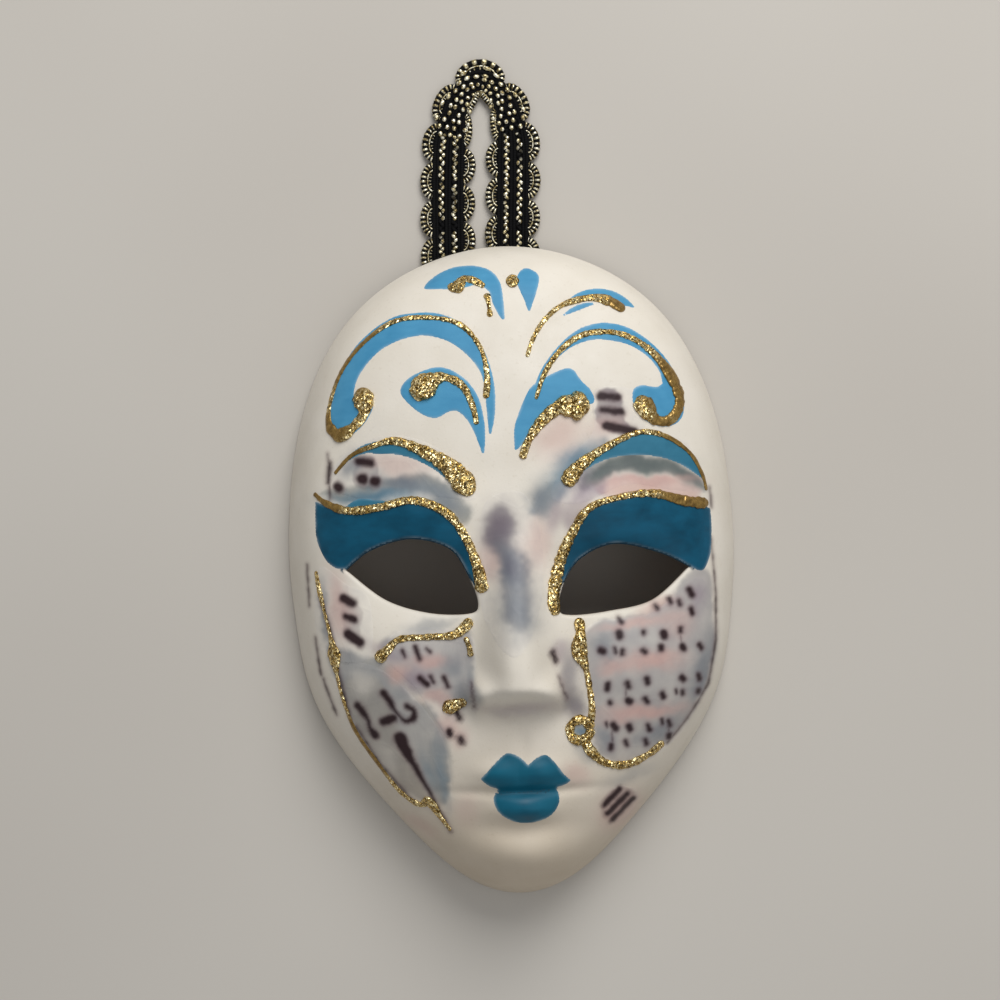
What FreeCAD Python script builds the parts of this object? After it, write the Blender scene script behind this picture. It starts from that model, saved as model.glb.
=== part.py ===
import FreeCAD, Part
import math
import os

# A small hand-painted full-face carnival mask, lying face up.
# +Z points out of the face, +Y to the forehead, +X to the viewer's right; millimetres.
# The origin is the centre of the face outline, on the plane that the rim rests on.

# ---- shell: driving dimensions ----
# Distance from the origin to the rim, every 15 degrees from the crown round to the chin.
RIM_RADII = [80.6, 79.0, 74.8, 67.8, 61.2, 56.8, 55.0, 55.5, 58.3, 61.2, 65.6, 73.8, 80.0]
SIDE_RISE = 20.0         # height of the steep side wall
SIDE_SPREAD = 4.5        # how fast the side wall turns over into the front
SIDE_FLOOR = 40.0        # depth to which the side wall runs on below the rim plane
DOME_RISE = 13.0         # further rise of the front, from the shoulder to the middle
WALL_FRONT = 2.8         # wall thickness measured down from the front
WALL_SIDE = 2.6          # wall thickness measured in from the side wall
INNER_DETAIL = 0.55      # the inside follows the features only this much
GRID_STEP = 1.6          # spacing of the surface's interpolated points
GRID_HALF_WIDTH = 62.0
GRID_HALF_LENGTH = 88.0
CUT_DEPTH = 260.0        # any length that passes right through the shell

# Features that come in left and right pairs: x, y, half width, half length, height.
PAIRED_BUMPS = [
    (21, 15, 13, 6, 2.2),        # brow ridge
    (25, -1, 12, 8, -3.2),       # eye socket
    (25, 8, 14, 3.2, 1.0),       # upper lid
    (27, -22, 13, 13, 2.6),      # cheek
    (8.4, -27, 3.6, 4.0, 5.0),   # nostril wing
    (5, -45.5, 5.5, 2.8, 1.6),   # upper lip
    (38, 25, 10, 14, -1.0),      # temple
]
SINGLE_BUMPS = [
    (0, -46, 20, 14, 3.2),       # mouth area
    (1, -54.5, 7.5, 2.8, 2.2),   # lower lip
    (1, -50.2, 14, 1.2, -1.4),   # line between the lips
    (1, -38.5, 1.8, 4, -0.6),    # groove under the nose
    (1, -66, 11, 6.5, 4.0),      # chin
    (1, -59.5, 9, 2.5, -1.0),    # hollow under the lower lip
    (0, 45, 30, 20, 1.0),        # forehead
]
NOSE_X = 0.6
NOSE_RISE = 12.0
NOSE_ROOT_Y = 17.0       # where the ridge starts to rise
NOSE_RUN = 39.0          # length of the rising ridge
NOSE_TIP_Y = -25.0       # where the underside starts
NOSE_UNDERSIDE = 7.0     # length of the underside
NOSE_ROOT_WIDTH = 4.2
NOSE_TIP_WIDTH = 7.4
NOSE_ROUNDNESS = 2.5

# Eye openings: the upper edge from the outer corner to the inner, then the lower edge back.
EYE_LEFT = ([(-39, 2), (-33, 6.5), (-23.5, 9), (-14.5, 6.5), (-10, -0.5), (-8.2, -6.5)],
            [(-8.2, -6.5), (-10.5, -8.6), (-20, -8.2), (-30, -5), (-39, 2)])
EYE_RIGHT = ([(41.5, 0.5), (34.5, 4), (24, 6.5), (16, 3.5), (11.8, -2), (10.4, -8)],
             [(10.4, -8), (13, -9.6), (22, -9), (32.5, -6.8), (41.5, 0.5)])

# The forehead rim is lifted so that the ribbon passes under it.
LIFT_START_Y = 36.0
LIFT_FULL_Y = 70.0
LIFT_HEIGHT = 2.6

# ---- raised gold relief lines: x, y, width of the bead at each point ----
RELIEF_KEYED = 0.05      # how far the paste keys into the porous surface
RELIEF_BASE = 0.25       # bead height = base + slope x width
RELIEF_SLOPE = 0.26
RELIEF_STEP = 2.0        # spacing of the bead's cross-sections
RELIEF_LINES = {
    "relief_crown_curl": [(-13.4, 68.6, 1.8), (-11.2, 68.1, 3.2), (-9.3, 70.1, 2.2), (-6.5, 69.2, 1.8),
                          (-4.6, 67.8, 1.3)],
    "relief_crown_drop": [(-4.2, 66.2, 1.8), (-3.7, 63.2, 1), (-3.5, 60.3, 1.7)],
    "relief_crown_dot": [(0.4, 69.2, 2.6), (2, 69.1, 3.4), (3.6, 69, 2.6)],
    "relief_scroll_small_right": [(4.8, 50.5, 0.9), (6.2, 54.5, 1.1), (9, 59, 1.2), (13.5, 62.8, 1.3),
                                  (20, 64.6, 1.8), (24.5, 64, 2.9), (28.5, 61.6, 2.2)],
    "relief_scroll_large_left": [(-5, 41, 1.8), (-4.6, 46.5, 1.4), (-6, 53, 1.2), (-10.5, 58.7, 1.3),
                                 (-18, 60.8, 1.2), (-26.5, 60.2, 1.2), (-34, 55.3, 1.2), (-39.2, 49, 1),
                                 (-42.1, 41.5, 1.1), (-42.3, 36.4, 2), (-39.8, 33.9, 3.2), (-36.4, 35.6, 2.2),
                                 (-33.8, 38.6, 2.8), (-33.8, 42, 5.6), (-34.4, 44.8, 3.6)],
    "relief_scroll_inner_left": [(-21, 41, 3.4), (-19.4, 44.2, 6.8), (-15, 46.4, 2.4), (-10.5, 44.3, 1.8),
                                 (-8.2, 39.5, 1.5), (-7.3, 35, 1.3)],
    "relief_scroll_large_right": [(6.5, 40.5, 0.9), (9, 47, 1.2), (13.3, 52.5, 1.4), (19, 55.8, 1.5),
                                  (26.5, 55.8, 1.4), (33.2, 52.4, 1.8), (38.3, 46.4, 2.6), (40.7, 40, 2.8),
                                  (38.4, 35.4, 2.4), (34.6, 35.2, 2.8), (31.8, 38.8, 5.4), (31, 41, 4.2)],
    "relief_scroll_inner_right": [(2.9, 26.8, 2), (4.4, 30.8, 1.8), (7.5, 35.2, 2.8), (11.6, 38.4, 3.8),
                                  (16, 38.8, 6.8), (19, 38.4, 5)],
    "relief_brow_left": [(-41.2, 24.8, 0.8), (-37, 28.9, 1), (-31.5, 31, 1.4), (-26.5, 31.9, 1.8),
                         (-20.5, 29.6, 2.6), (-14.6, 26, 4), (-10.8, 21.8, 5.4), (-9, 18.8, 4.4)],
    "relief_brow_right": [(12.6, 20.5, 4.4), (16.2, 24.8, 3), (22.5, 29, 1.8), (30.5, 32.3, 1.4),
                          (37, 31.2, 1.2), (42.6, 27.3, 1), (45.6, 22.2, 0.9), (46.6, 18.3, 0.8)],
    "relief_lid_left": [(-46.6, 20.4, 0.9), (-43.5, 17.9, 1.6), (-38, 16, 2), (-30.5, 16.6, 2),
                        (-22.5, 18, 2), (-15, 15, 2), (-10.6, 9, 2), (-8, 1.8, 2.6), (-7.2, -3.8, 3.6)],
    "relief_lid_right": [(47, 15.2, 2.6), (41, 16, 2.6), (33, 18, 2), (25, 17.3, 1.6), (18, 15, 1.8),
                         (13.9, 9.3, 2.2), (10.9, 2.6, 2.8), (9.2, -5.2, 3), (9.8, -9.4, 2.2)],
    "relief_cheek_left": [(-32.2, -19, 3.2), (-29.5, -16.4, 2.2), (-26.5, -14, 1.6), (-20, -13.6, 1.4),
                          (-13.8, -13.2, 2), (-9.8, -9.8, 2.8)],
    "relief_cheek_left_twig": [(-11.4, -13.8, 1.6), (-10.6, -16, 1.3), (-10.2, -18.4, 1.6)],
    "relief_nostril_left": [(-17.2, -30.8, 2.2), (-15, -29.8, 3.6), (-11.5, -28.6, 1.4)],
    "relief_side_left": [(-46.6, 2, 0.8), (-45.8, -3, 1.3), (-44.4, -9, 0.8), (-43.2, -14.4, 1.3),
                         (-42.6, -17.8, 3.2), (-42.2, -22, 1.2), (-41, -28, 0.9), (-38.4, -36, 1),
                         (-33.6, -43.6, 1), (-28.4, -50.8, 1.2), (-23.8, -53.8, 1.5), (-21.2, -53, 2.4),
                         (-18.6, -56.8, 1.2), (-16.4, -60, 0.9)],
    "relief_cheek_right": [(14.8, -10.2, 3), (15.2, -13.6, 2.2), (14.8, -17.8, 4), (16.2, -22, 1.6),
                           (17, -27, 1.4), (17.4, -31.6, 1.6)],
    "relief_cheek_right_tail": [(16.8, -41.2, 2.4), (20.2, -44.4, 2), (25.4, -45.4, 2), (31, -43.4, 1.8),
                                (34.6, -40.8, 2)],
}
RING_CENTRE = (14.5, -36.3)
RING_RADIUS = 2.4
RING_WIDTH = 2.4
RING_SWEEP = 340.0       # degrees of paste in the ring, which its two ends leave almost closed
RING_STEPS = 16

# ---- pasted printed tissue: closed outlines ----
TISSUE_THICKNESS = 0.2
TISSUE_KEYED = 0.05
TISSUE_MARGIN = 4.0      # how far the interpolated surface runs past the outline
TISSUES = {
    "tissue_temple_left": [(-45.5, 3), (-47.5, -8), (-45, -19), (-34, -18.5), (-33.5, -5), (-39, -1)],
    "tissue_cheek_left": [(-43.5, -20.5), (-38.5, -36), (-30, -48), (-18, -58), (-15.5, -52), (-17, -38),
                          (-24, -27), (-33, -20)],
    "tissue_cheek_inner_left": [(-31, -17.5), (-27, -12), (-17, -11.5), (-9.5, -14), (-9.5, -24),
                                (-14, -33), (-16.8, -36.5), (-23.5, -25.5)],
    "tissue_cheek_right": [(44, -2), (48, -14), (44.5, -31), (36, -42.5), (24, -46), (14.5, -39),
                           (16, -29), (14, -18), (18, -11.5), (32, -9.5)],
    "tissue_brow_left": [(-43, 22), (-38, 30), (-27, 33.5), (-15, 29), (-8, 18), (-18, 18.5), (-32, 18)],
    "tissue_brow_right": [(9, 18), (14, 27), (19.5, 33), (20.5, 42.5), (30, 42), (32, 34), (42, 30),
                          (47, 18.5), (38, 18.5), (27, 20), (16, 16)],
    "tissue_nose_bridge": [(-6, 17), (3, 19), (7, 8), (6, -8), (0, -18), (-7, -10), (-7.5, 4)],
    "tissue_chin": [(19.5, -56.5), (22.5, -50.5), (28.5, -53), (25.5, -60.5)],
}

# ---- hanging ribbon ----
RIBBON_WIDTH = 14.0
RIBBON_APEX_WIDTH = 8.6  # the soft braid gathers to this width where it turns over
RIBBON_THICKNESS = 1.7
RIBBON_BOTTOM = 0.1      # gap under the ribbon where the mask lies on a table
HINGE_Y = 81.8           # the ribbon bends here, just outside the forehead rim
HINGE_GAP = 0.3
# Centre line of the loop, from the left leg over the top to the right leg.
RIBBON_ROUTE = [(-13.4, HINGE_Y), (-13.1, 96.0), (-12.2, 110.5), (-7.8, 121.2), (-1.2, 121.4),
                (3.6, 111.0), (3.1, 96.0), (2.5, HINGE_Y)]
ROUTE_ARC_SHARE = 0.45   # each arc uses this share of the shorter run on either side
# Where each glued end turns up the inside of the forehead: the wall is further back on the left.
END_TURN_Y = {"left": 71.2, "right": 74.6}
END_TURN_RADIUS = 1.2    # on the inside of the fold
END_SLOPE = 70.0         # degrees from the rest plane
END_RISE = 11.0          # length of the glued end up the wall
GLUE_START = 2.2         # how far up the glued end the glue begins
GLUE_LENGTH = 7.6
GLUE_WIDTH = 12.0
GLUE_REACH = 7.0         # more than the gap between the ribbon and the wall
GLUE_ROUND = 2.4


def vector(x, y, z=0.0):
    return FreeCAD.Vector(x, y, z)


# ---- the face as a height above the rim plane ----

def cosine_terms(radii):
    """Terms of the smooth closed curve that passes through evenly spaced radii."""
    last = len(radii) - 1
    terms = []
    for k in range(last + 1):
        total = 0.0
        for j, radius in enumerate(radii):
            share = 0.5 if j in (0, last) else 1.0
            total += share * radius * math.cos(math.pi * j * k / last)
        terms.append(total * (1.0 if k in (0, last) else 2.0) / last)
    return terms


RIM_TERMS = cosine_terms(RIM_RADII)


def rim_radius(angle):
    return sum(term * math.cos(k * angle) for k, term in enumerate(RIM_TERMS))


def smooth_step(t):
    t = min(1.0, max(0.0, t))
    return t * t * (3.0 - 2.0 * t)


def bump(x, y, shape):
    x0, y0, half_width, half_length, height = shape
    return height * math.exp(-((x - x0) / half_width) ** 2 - ((y - y0) / half_length) ** 2)


def nose(x, y):
    rise = NOSE_RISE * smooth_step((NOSE_ROOT_Y - y) / NOSE_RUN)
    rise *= 1.0 - smooth_step((NOSE_TIP_Y - y) / NOSE_UNDERSIDE)
    widening = smooth_step((NOSE_ROOT_Y - y) / NOSE_RUN)
    width = NOSE_ROOT_WIDTH + (NOSE_TIP_WIDTH - NOSE_ROOT_WIDTH) * widening
    return rise * math.exp(-(abs(x - NOSE_X) / width) ** NOSE_ROUNDNESS)


def features(x, y):
    total = nose(x, y)
    total += sum(bump(abs(x), y, shape) for shape in PAIRED_BUMPS)
    total += sum(bump(x, y, shape) for shape in SINGLE_BUMPS)
    return total


def side_wall(inset):
    """Height of the side wall at this distance in from the rim."""
    if inset >= 0.0:
        return SIDE_RISE * (1.0 - math.exp(-inset / SIDE_SPREAD))
    steepness = SIDE_RISE / SIDE_SPREAD
    return -SIDE_FLOOR * (1.0 - math.exp(inset * steepness / SIDE_FLOOR))


def height(x, y, shrink=0.0, drop=0.0, detail=1.0):
    distance = math.hypot(x, y)
    radius = rim_radius(math.atan2(abs(x), y))
    dome = DOME_RISE * (1.0 - (distance / radius) ** 2)
    return side_wall(radius - distance - shrink) + dome + detail * features(x, y) - drop


def inner_height(x, y):
    return height(x, y, WALL_SIDE, WALL_FRONT, INNER_DETAIL)


# ---- the shell ----

def solid_under(height_function, raised=0.0, low=(-GRID_HALF_WIDTH, -GRID_HALF_LENGTH),
                high=(GRID_HALF_WIDTH, GRID_HALF_LENGTH)):
    """The solid from a height surface over a rectangle down to well below the rim plane."""
    columns = int(math.ceil((high[0] - low[0]) / GRID_STEP)) + 1
    rows = int(math.ceil((high[1] - low[1]) / GRID_STEP)) + 1
    grid = []
    for i in range(columns):
        x = low[0] + i * GRID_STEP
        column = [(x, low[1] + j * GRID_STEP) for j in range(rows)]
        grid.append([vector(x, y, height_function(x, y) + raised) for x, y in column])
    surface = Part.BSplineSurface()
    surface.interpolate(grid)
    return surface.toShape().extrude(vector(0, 0, -CUT_DEPTH))


def curve_through(points, closed=False):
    curve = Part.BSplineCurve()
    curve.interpolate([vector(x, y) for x, y in points], PeriodicFlag=closed)
    return curve.toShape()


def prism(edges, bottom=-CUT_DEPTH / 2, depth=CUT_DEPTH):
    face = Part.Face(Part.Wire(edges))
    face.translate(vector(0, 0, bottom))
    return face.extrude(vector(0, 0, depth))


def rim_relief():
    """What is cut away under the forehead, so that its rim stands off the table."""
    far = GRID_HALF_LENGTH
    bow = Part.BSplineCurve()
    lift_middle = (LIFT_START_Y + LIFT_FULL_Y) / 2
    bow.interpolate([vector(0, LIFT_START_Y, 0), vector(0, lift_middle, LIFT_HEIGHT / 2),
                     vector(0, LIFT_FULL_Y, LIFT_HEIGHT)],
                    InitialTangent=vector(0, 1, 0), FinalTangent=vector(0, 1, 0))
    corners = [vector(0, LIFT_FULL_Y, LIFT_HEIGHT), vector(0, far, LIFT_HEIGHT),
               vector(0, far, -1), vector(0, LIFT_START_Y, -1), vector(0, LIFT_START_Y, 0)]
    edges = [bow.toShape()] + [Part.makeLine(a, b) for a, b in zip(corners, corners[1:])]
    face = Part.Face(Part.Wire(edges))
    face.translate(vector(-GRID_HALF_WIDTH, 0, 0))
    return face.extrude(vector(2 * GRID_HALF_WIDTH, 0, 0))


def mask_shell():
    above_table = Part.makeBox(2 * GRID_HALF_WIDTH, 2 * GRID_HALF_LENGTH, CUT_DEPTH,
                               vector(-GRID_HALF_WIDTH, -GRID_HALF_LENGTH, 0))
    shell = solid_under(height).common(above_table).cut(solid_under(inner_height))
    for upper, lower in (EYE_LEFT, EYE_RIGHT):
        shell = shell.cut(prism([curve_through(upper), curve_through(lower)]))
    return shell.cut(rim_relief())


# ---- gold relief ----

def smooth_route(points, step):
    """Points about one step apart on a smooth curve through the given x, y, width points."""
    route = []
    padded = [points[0]] + list(points) + [points[-1]]
    for before, start, end, after in zip(padded, padded[1:], padded[2:], padded[3:]):
        count = max(1, int(math.ceil(math.hypot(end[0] - start[0], end[1] - start[1]) / step)))
        for k in range(count):
            t = k / count
            route.append(tuple(
                0.5 * (2 * b + (c - a) * t + (2 * a - 5 * b + 4 * c - d) * t ** 2
                       + (3 * b - a - 3 * c + d) * t ** 3)
                for a, b, c, d in zip(before, start, end, after)))
    return route + [tuple(points[-1])]


def bead_section(x, y, width, across):
    """A rounded cross-section that sits on the face at x, y and reaches half its width each way."""
    top = RELIEF_BASE + RELIEF_SLOPE * width
    corners = []
    for side, rise in ((-1.0, -RELIEF_KEYED), (-0.72, 0.7 * top), (0.0, top), (0.72, 0.7 * top),
                       (1.0, -RELIEF_KEYED)):
        px = x + side * across[0] * width / 2
        py = y + side * across[1] * width / 2
        corners.append(vector(px, py, height(px, py) + rise))
    return Part.makePolygon(corners + corners[:1])


def relief_bead(points):
    route = smooth_route(points, RELIEF_STEP)
    sections = []
    for k, (x, y, width) in enumerate(route):
        x0, y0, _ = route[max(0, k - 1)]
        x1, y1, _ = route[min(len(route) - 1, k + 1)]
        length = math.hypot(x1 - x0, y1 - y0)
        sections.append(bead_section(x, y, width, (-(y1 - y0) / length, (x1 - x0) / length)))
    return Part.makeLoft(sections, True, True)


def relief_ring():
    points = []
    for k in range(RING_STEPS + 1):
        angle = math.radians(RING_SWEEP * k / RING_STEPS)
        points.append((RING_CENTRE[0] + RING_RADIUS * math.cos(angle),
                       RING_CENTRE[1] + RING_RADIUS * math.sin(angle), RING_WIDTH))
    return relief_bead(points)


# ---- tissue ----

def tissue(outline):
    """A thin skin over the face, inside a closed outline."""
    low = [min(point[axis] for point in outline) - TISSUE_MARGIN for axis in (0, 1)]
    high = [max(point[axis] for point in outline) + TISSUE_MARGIN for axis in (0, 1)]
    over = solid_under(height, TISSUE_THICKNESS, low, high)
    under = solid_under(height, -TISSUE_KEYED, low, high)
    return prism([curve_through(outline, closed=True)]).common(over).cut(under)


# ---- ribbon ----

def turn_at(before, point, after):
    """Unit directions of the two runs at a point of the route, and the signed turn between them."""
    ax, ay = point[0] - before[0], point[1] - before[1]
    bx, by = after[0] - point[0], after[1] - point[1]
    a, b = math.hypot(ax, ay), math.hypot(bx, by)
    turn = math.atan2(ax * by - ay * bx, ax * bx + ay * by)
    return (ax / a, ay / a), (bx / b, by / b), turn, min(a, b)


def ribbon_stations(route):
    """Centre, left normal and width along straight runs joined by tangent arcs."""
    stations = [(route[0], (-1.0, 0.0), RIBBON_WIDTH)]
    arc_step = math.radians(8)
    for before, point, after in zip(route, route[1:], route[2:]):
        into, out, turn, shorter = turn_at(before, point, after)
        radius = ROUTE_ARC_SHARE * shorter / math.tan(abs(turn) / 2)
        reach = ROUTE_ARC_SHARE * shorter
        side = 1.0 if turn > 0 else -1.0
        centre = (point[0] - reach * into[0] - side * radius * into[1],
                  point[1] - reach * into[1] + side * radius * into[0])
        print("ribbon arc radius %.1f mm, turn %.0f degrees" % (radius, math.degrees(turn)))
        steps = max(1, int(math.ceil(abs(turn) / arc_step)))
        for k in range(steps + 1):
            angle = turn * k / steps
            normal = (-into[1] * math.cos(angle) - into[0] * math.sin(angle),
                      into[0] * math.cos(angle) - into[1] * math.sin(angle))
            place = (centre[0] - side * radius * normal[0], centre[1] - side * radius * normal[1])
            stations.append((place, normal, ribbon_width(place[1])))
    return stations + [(route[-1], (1.0, 0.0), RIBBON_WIDTH)]


def ribbon_width(y):
    """The braid keeps its width along the legs and gathers in towards the apex."""
    apex_y = max(point[1] for point in RIBBON_ROUTE)
    leg_top_y = RIBBON_ROUTE[1][1]
    share = smooth_step((y - leg_top_y) / (apex_y - leg_top_y))
    return RIBBON_WIDTH + (RIBBON_APEX_WIDTH - RIBBON_WIDTH) * share


def hanging_loop():
    stations = ribbon_stations(RIBBON_ROUTE)
    left = [vector(p[0] + n[0] * w / 2, p[1] + n[1] * w / 2) for p, n, w in stations]
    right = [vector(p[0] - n[0] * w / 2, p[1] - n[1] * w / 2) for p, n, w in stations]
    outline = Part.makePolygon(left + right[::-1] + left[:1])
    band = prism([outline], RIBBON_BOTTOM, RIBBON_THICKNESS)
    radius = RIBBON_THICKNESS / 2
    for x, y in (RIBBON_ROUTE[0], RIBBON_ROUTE[-1]):
        bend = Part.makeCylinder(radius, RIBBON_WIDTH, vector(x - RIBBON_WIDTH / 2, y, RIBBON_BOTTOM + radius),
                                 vector(1, 0, 0))
        band = band.fuse(bend)
    length = sum(math.dist(a[0], b[0]) for a, b in zip(stations, stations[1:]))
    print("loop length %.1f mm, volume %.0f mm3" % (length, band.Volume))
    return band


def ribbon_end(x, turn_y):
    """The flat end that passes under the rim and turns up the inside of the forehead."""
    bottom, top = RIBBON_BOTTOM, RIBBON_BOTTOM + RIBBON_THICKNESS
    mouth_y = HINGE_Y - RIBBON_THICKNESS / 2 - HINGE_GAP
    outer = END_TURN_RADIUS + RIBBON_THICKNESS
    centre = vector(0, turn_y, top + END_TURN_RADIUS)

    def on_bend(radius, degrees):
        angle = math.radians(degrees)
        return centre + vector(0, -radius * math.sin(angle), -radius * math.cos(angle))

    up = end_direction() * END_RISE
    a, b, c = (on_bend(outer, share * END_SLOPE) for share in (0, 0.5, 1))
    d, e, f = (on_bend(END_TURN_RADIUS, share * END_SLOPE) for share in (1, 0.5, 0))
    mouth_low, mouth_high = vector(0, mouth_y, bottom), vector(0, mouth_y, top)
    edges = [Part.makeLine(mouth_low, a), Part.Arc(a, b, c).toShape(), Part.makeLine(c, c + up),
             Part.makeLine(c + up, d + up), Part.makeLine(d + up, d), Part.Arc(d, e, f).toShape(),
             Part.makeLine(f, mouth_high), Part.makeLine(mouth_high, mouth_low)]
    face = Part.Face(Part.Wire(edges))
    face.translate(vector(x - RIBBON_WIDTH / 2, 0, 0))
    return face.extrude(vector(RIBBON_WIDTH, 0, 0))


def end_direction():
    slope = math.radians(END_SLOPE)
    return vector(0, -math.cos(slope), math.sin(slope))


def glue_pad(x, turn_y):
    """A pad of hot-melt glue that fills the gap between a turned-up end and the forehead wall."""
    pad = Part.makeBox(GLUE_WIDTH, GLUE_REACH, GLUE_LENGTH, vector(-GLUE_WIDTH / 2, 0, 0))
    pad = pad.makeFillet(GLUE_ROUND, [edge for edge in pad.Edges if edge.BoundBox.YLength > GLUE_ROUND])
    pad.rotate(vector(0, 0, 0), vector(1, 0, 0), 90 - END_SLOPE)
    slope = math.radians(END_SLOPE)
    fold = vector(x, turn_y, RIBBON_BOTTOM + RIBBON_THICKNESS + END_TURN_RADIUS)
    outwards = vector(0, math.sin(slope), math.cos(slope))
    pad.translate(fold + end_direction() * GLUE_START - outwards * END_TURN_RADIUS)
    low = (x - GLUE_WIDTH, turn_y - GLUE_LENGTH)
    high = (x + GLUE_WIDTH, turn_y + GLUE_LENGTH)
    return pad.common(solid_under(inner_height, 0.0, low, high))


def main():
    os.makedirs("parts", exist_ok=True)
    shapes = {"mask_shell": mask_shell()}
    for name, points in RELIEF_LINES.items():
        shapes[name] = relief_bead(points)
    shapes["relief_cheek_right_ring"] = relief_ring()
    for name, outline in TISSUES.items():
        shapes[name] = tissue(outline)
    shapes["hanging_loop"] = hanging_loop()
    for side, point in (("left", RIBBON_ROUTE[0]), ("right", RIBBON_ROUTE[-1])):
        shapes["ribbon_end_" + side] = ribbon_end(point[0], END_TURN_Y[side])
        shapes["glue_pad_" + side] = glue_pad(point[0], END_TURN_Y[side])
    for name, shape in shapes.items():
        shape.exportStep("parts/" + name + ".step")
        print("%-28s %d solid, valid %s, volume %.1f" % (name, len(shape.Solids), shape.isValid(),
                                                         shape.Volume))


main()
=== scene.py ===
import math

import bmesh
import bpy
import numpy as np
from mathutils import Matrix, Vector
from mathutils.geometry import delaunay_2d_cdt


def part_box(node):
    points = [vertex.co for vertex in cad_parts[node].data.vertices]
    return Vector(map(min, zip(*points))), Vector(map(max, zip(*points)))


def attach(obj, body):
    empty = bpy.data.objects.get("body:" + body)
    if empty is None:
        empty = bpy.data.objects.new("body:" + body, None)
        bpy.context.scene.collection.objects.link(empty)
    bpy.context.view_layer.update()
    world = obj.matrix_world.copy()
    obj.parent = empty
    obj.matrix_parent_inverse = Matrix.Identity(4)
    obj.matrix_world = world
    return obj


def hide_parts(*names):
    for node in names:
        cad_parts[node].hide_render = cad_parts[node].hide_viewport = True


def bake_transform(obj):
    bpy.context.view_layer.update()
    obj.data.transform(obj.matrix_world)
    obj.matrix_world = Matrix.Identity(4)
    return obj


# A small hand-painted carnival mask, lying face up on its rim.
# The frame is in metres. The face's own sizes below are in millimetres, as on its drawing.

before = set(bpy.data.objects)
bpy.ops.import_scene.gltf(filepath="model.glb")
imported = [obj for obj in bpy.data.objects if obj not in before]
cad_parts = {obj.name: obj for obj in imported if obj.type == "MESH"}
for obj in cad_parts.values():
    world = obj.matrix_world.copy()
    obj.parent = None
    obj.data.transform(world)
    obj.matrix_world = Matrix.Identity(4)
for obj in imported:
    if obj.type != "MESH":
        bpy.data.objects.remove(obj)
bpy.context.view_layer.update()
MM = 0.001

# ---- the face: rim outline, side wall, dome and features ----
RIM_RADII = [80.6, 79.0, 74.8, 67.8, 61.2, 56.8, 55.0, 55.5, 58.3, 61.2, 65.6, 73.8, 80.0]
SIDE_RISE = 20.0
SIDE_SPREAD = 4.5
SIDE_FLOOR = 40.0
DOME_RISE = 13.0
WALL_FRONT = 2.8
WALL_SIDE = 2.6
INNER_DETAIL = 0.55
PAIRED_BUMPS = [
    (21, 15, 13, 6, 2.2),        # brow ridge
    (25, -1, 12, 8, -3.2),       # eye socket
    (25, 8, 14, 3.2, 1.0),       # upper lid
    (27, -22, 13, 13, 2.6),      # cheek
    (8.4, -27, 3.6, 4.0, 5.0),   # nostril wing
    (5, -45.5, 5.5, 2.8, 1.6),   # upper lip
    (38, 25, 10, 14, -1.0),      # temple
]
SINGLE_BUMPS = [
    (0, -46, 20, 14, 3.2),       # mouth area
    (1, -54.5, 7.5, 2.8, 2.2),   # lower lip
    (1, -50.2, 14, 1.2, -1.4),   # line between the lips
    (1, -38.5, 1.8, 4, -0.6),    # groove under the nose
    (1, -66, 11, 6.5, 4.0),      # chin
    (1, -59.5, 9, 2.5, -1.0),    # hollow under the lower lip
    (0, 45, 30, 20, 1.0),        # forehead
]
NOSE_X = 0.6
NOSE_RISE = 12.0
NOSE_ROOT_Y = 17.0
NOSE_RUN = 39.0
NOSE_TIP_Y = -25.0
NOSE_UNDERSIDE = 7.0
NOSE_ROOT_WIDTH = 4.2
NOSE_TIP_WIDTH = 7.4
NOSE_ROUNDNESS = 2.5
LIFT_START_Y = 36.0
LIFT_FULL_Y = 70.0
LIFT_HEIGHT = 2.6
EYES = [
    [(-39, 2), (-39, 2), (-33, 6.5), (-23.5, 9), (-14.5, 6.5), (-10, -0.5), (-8.2, -6.5),
     (-10.5, -8.6), (-20, -8.2), (-30, -5), (-39, 2)],
    [(41.5, 0.5), (41.5, 0.5), (34.5, 4), (24, 6.5), (16, 3.5), (11.8, -2), (10.4, -8),
     (13, -9.6), (22, -9), (32.5, -6.8), (41.5, 0.5)],
]


def cosine_terms(radii):
    """Terms of the smooth closed curve that passes through evenly spaced radii."""
    last = len(radii) - 1
    j = np.arange(last + 1)
    share = np.where((j == 0) | (j == last), 0.5, 1.0)
    k = j[:, None]
    terms = (share * np.array(radii) * np.cos(np.pi * j * k / last)).sum(1) * 2.0 / last
    terms[[0, last]] /= 2
    return terms


RIM_TERMS = cosine_terms(RIM_RADII)


def rim_radius(angle):
    return sum(term * np.cos(k * angle) for k, term in enumerate(RIM_TERMS))


def smooth_step(t):
    t = np.clip(t, 0.0, 1.0)
    return t * t * (3.0 - 2.0 * t)


def bump(x, y, shape):
    x0, y0, half_width, half_length, rise = shape
    return rise * np.exp(-((x - x0) / half_width) ** 2 - ((y - y0) / half_length) ** 2)


def nose(x, y):
    widening = smooth_step((NOSE_ROOT_Y - y) / NOSE_RUN)
    rise = NOSE_RISE * widening * (1.0 - smooth_step((NOSE_TIP_Y - y) / NOSE_UNDERSIDE))
    width = NOSE_ROOT_WIDTH + (NOSE_TIP_WIDTH - NOSE_ROOT_WIDTH) * widening
    return rise * np.exp(-(np.abs(x - NOSE_X) / width) ** NOSE_ROUNDNESS)


def features(x, y):
    total = nose(x, y)
    total = total + sum(bump(np.abs(x), y, shape) for shape in PAIRED_BUMPS)
    return total + sum(bump(x, y, shape) for shape in SINGLE_BUMPS)


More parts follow.
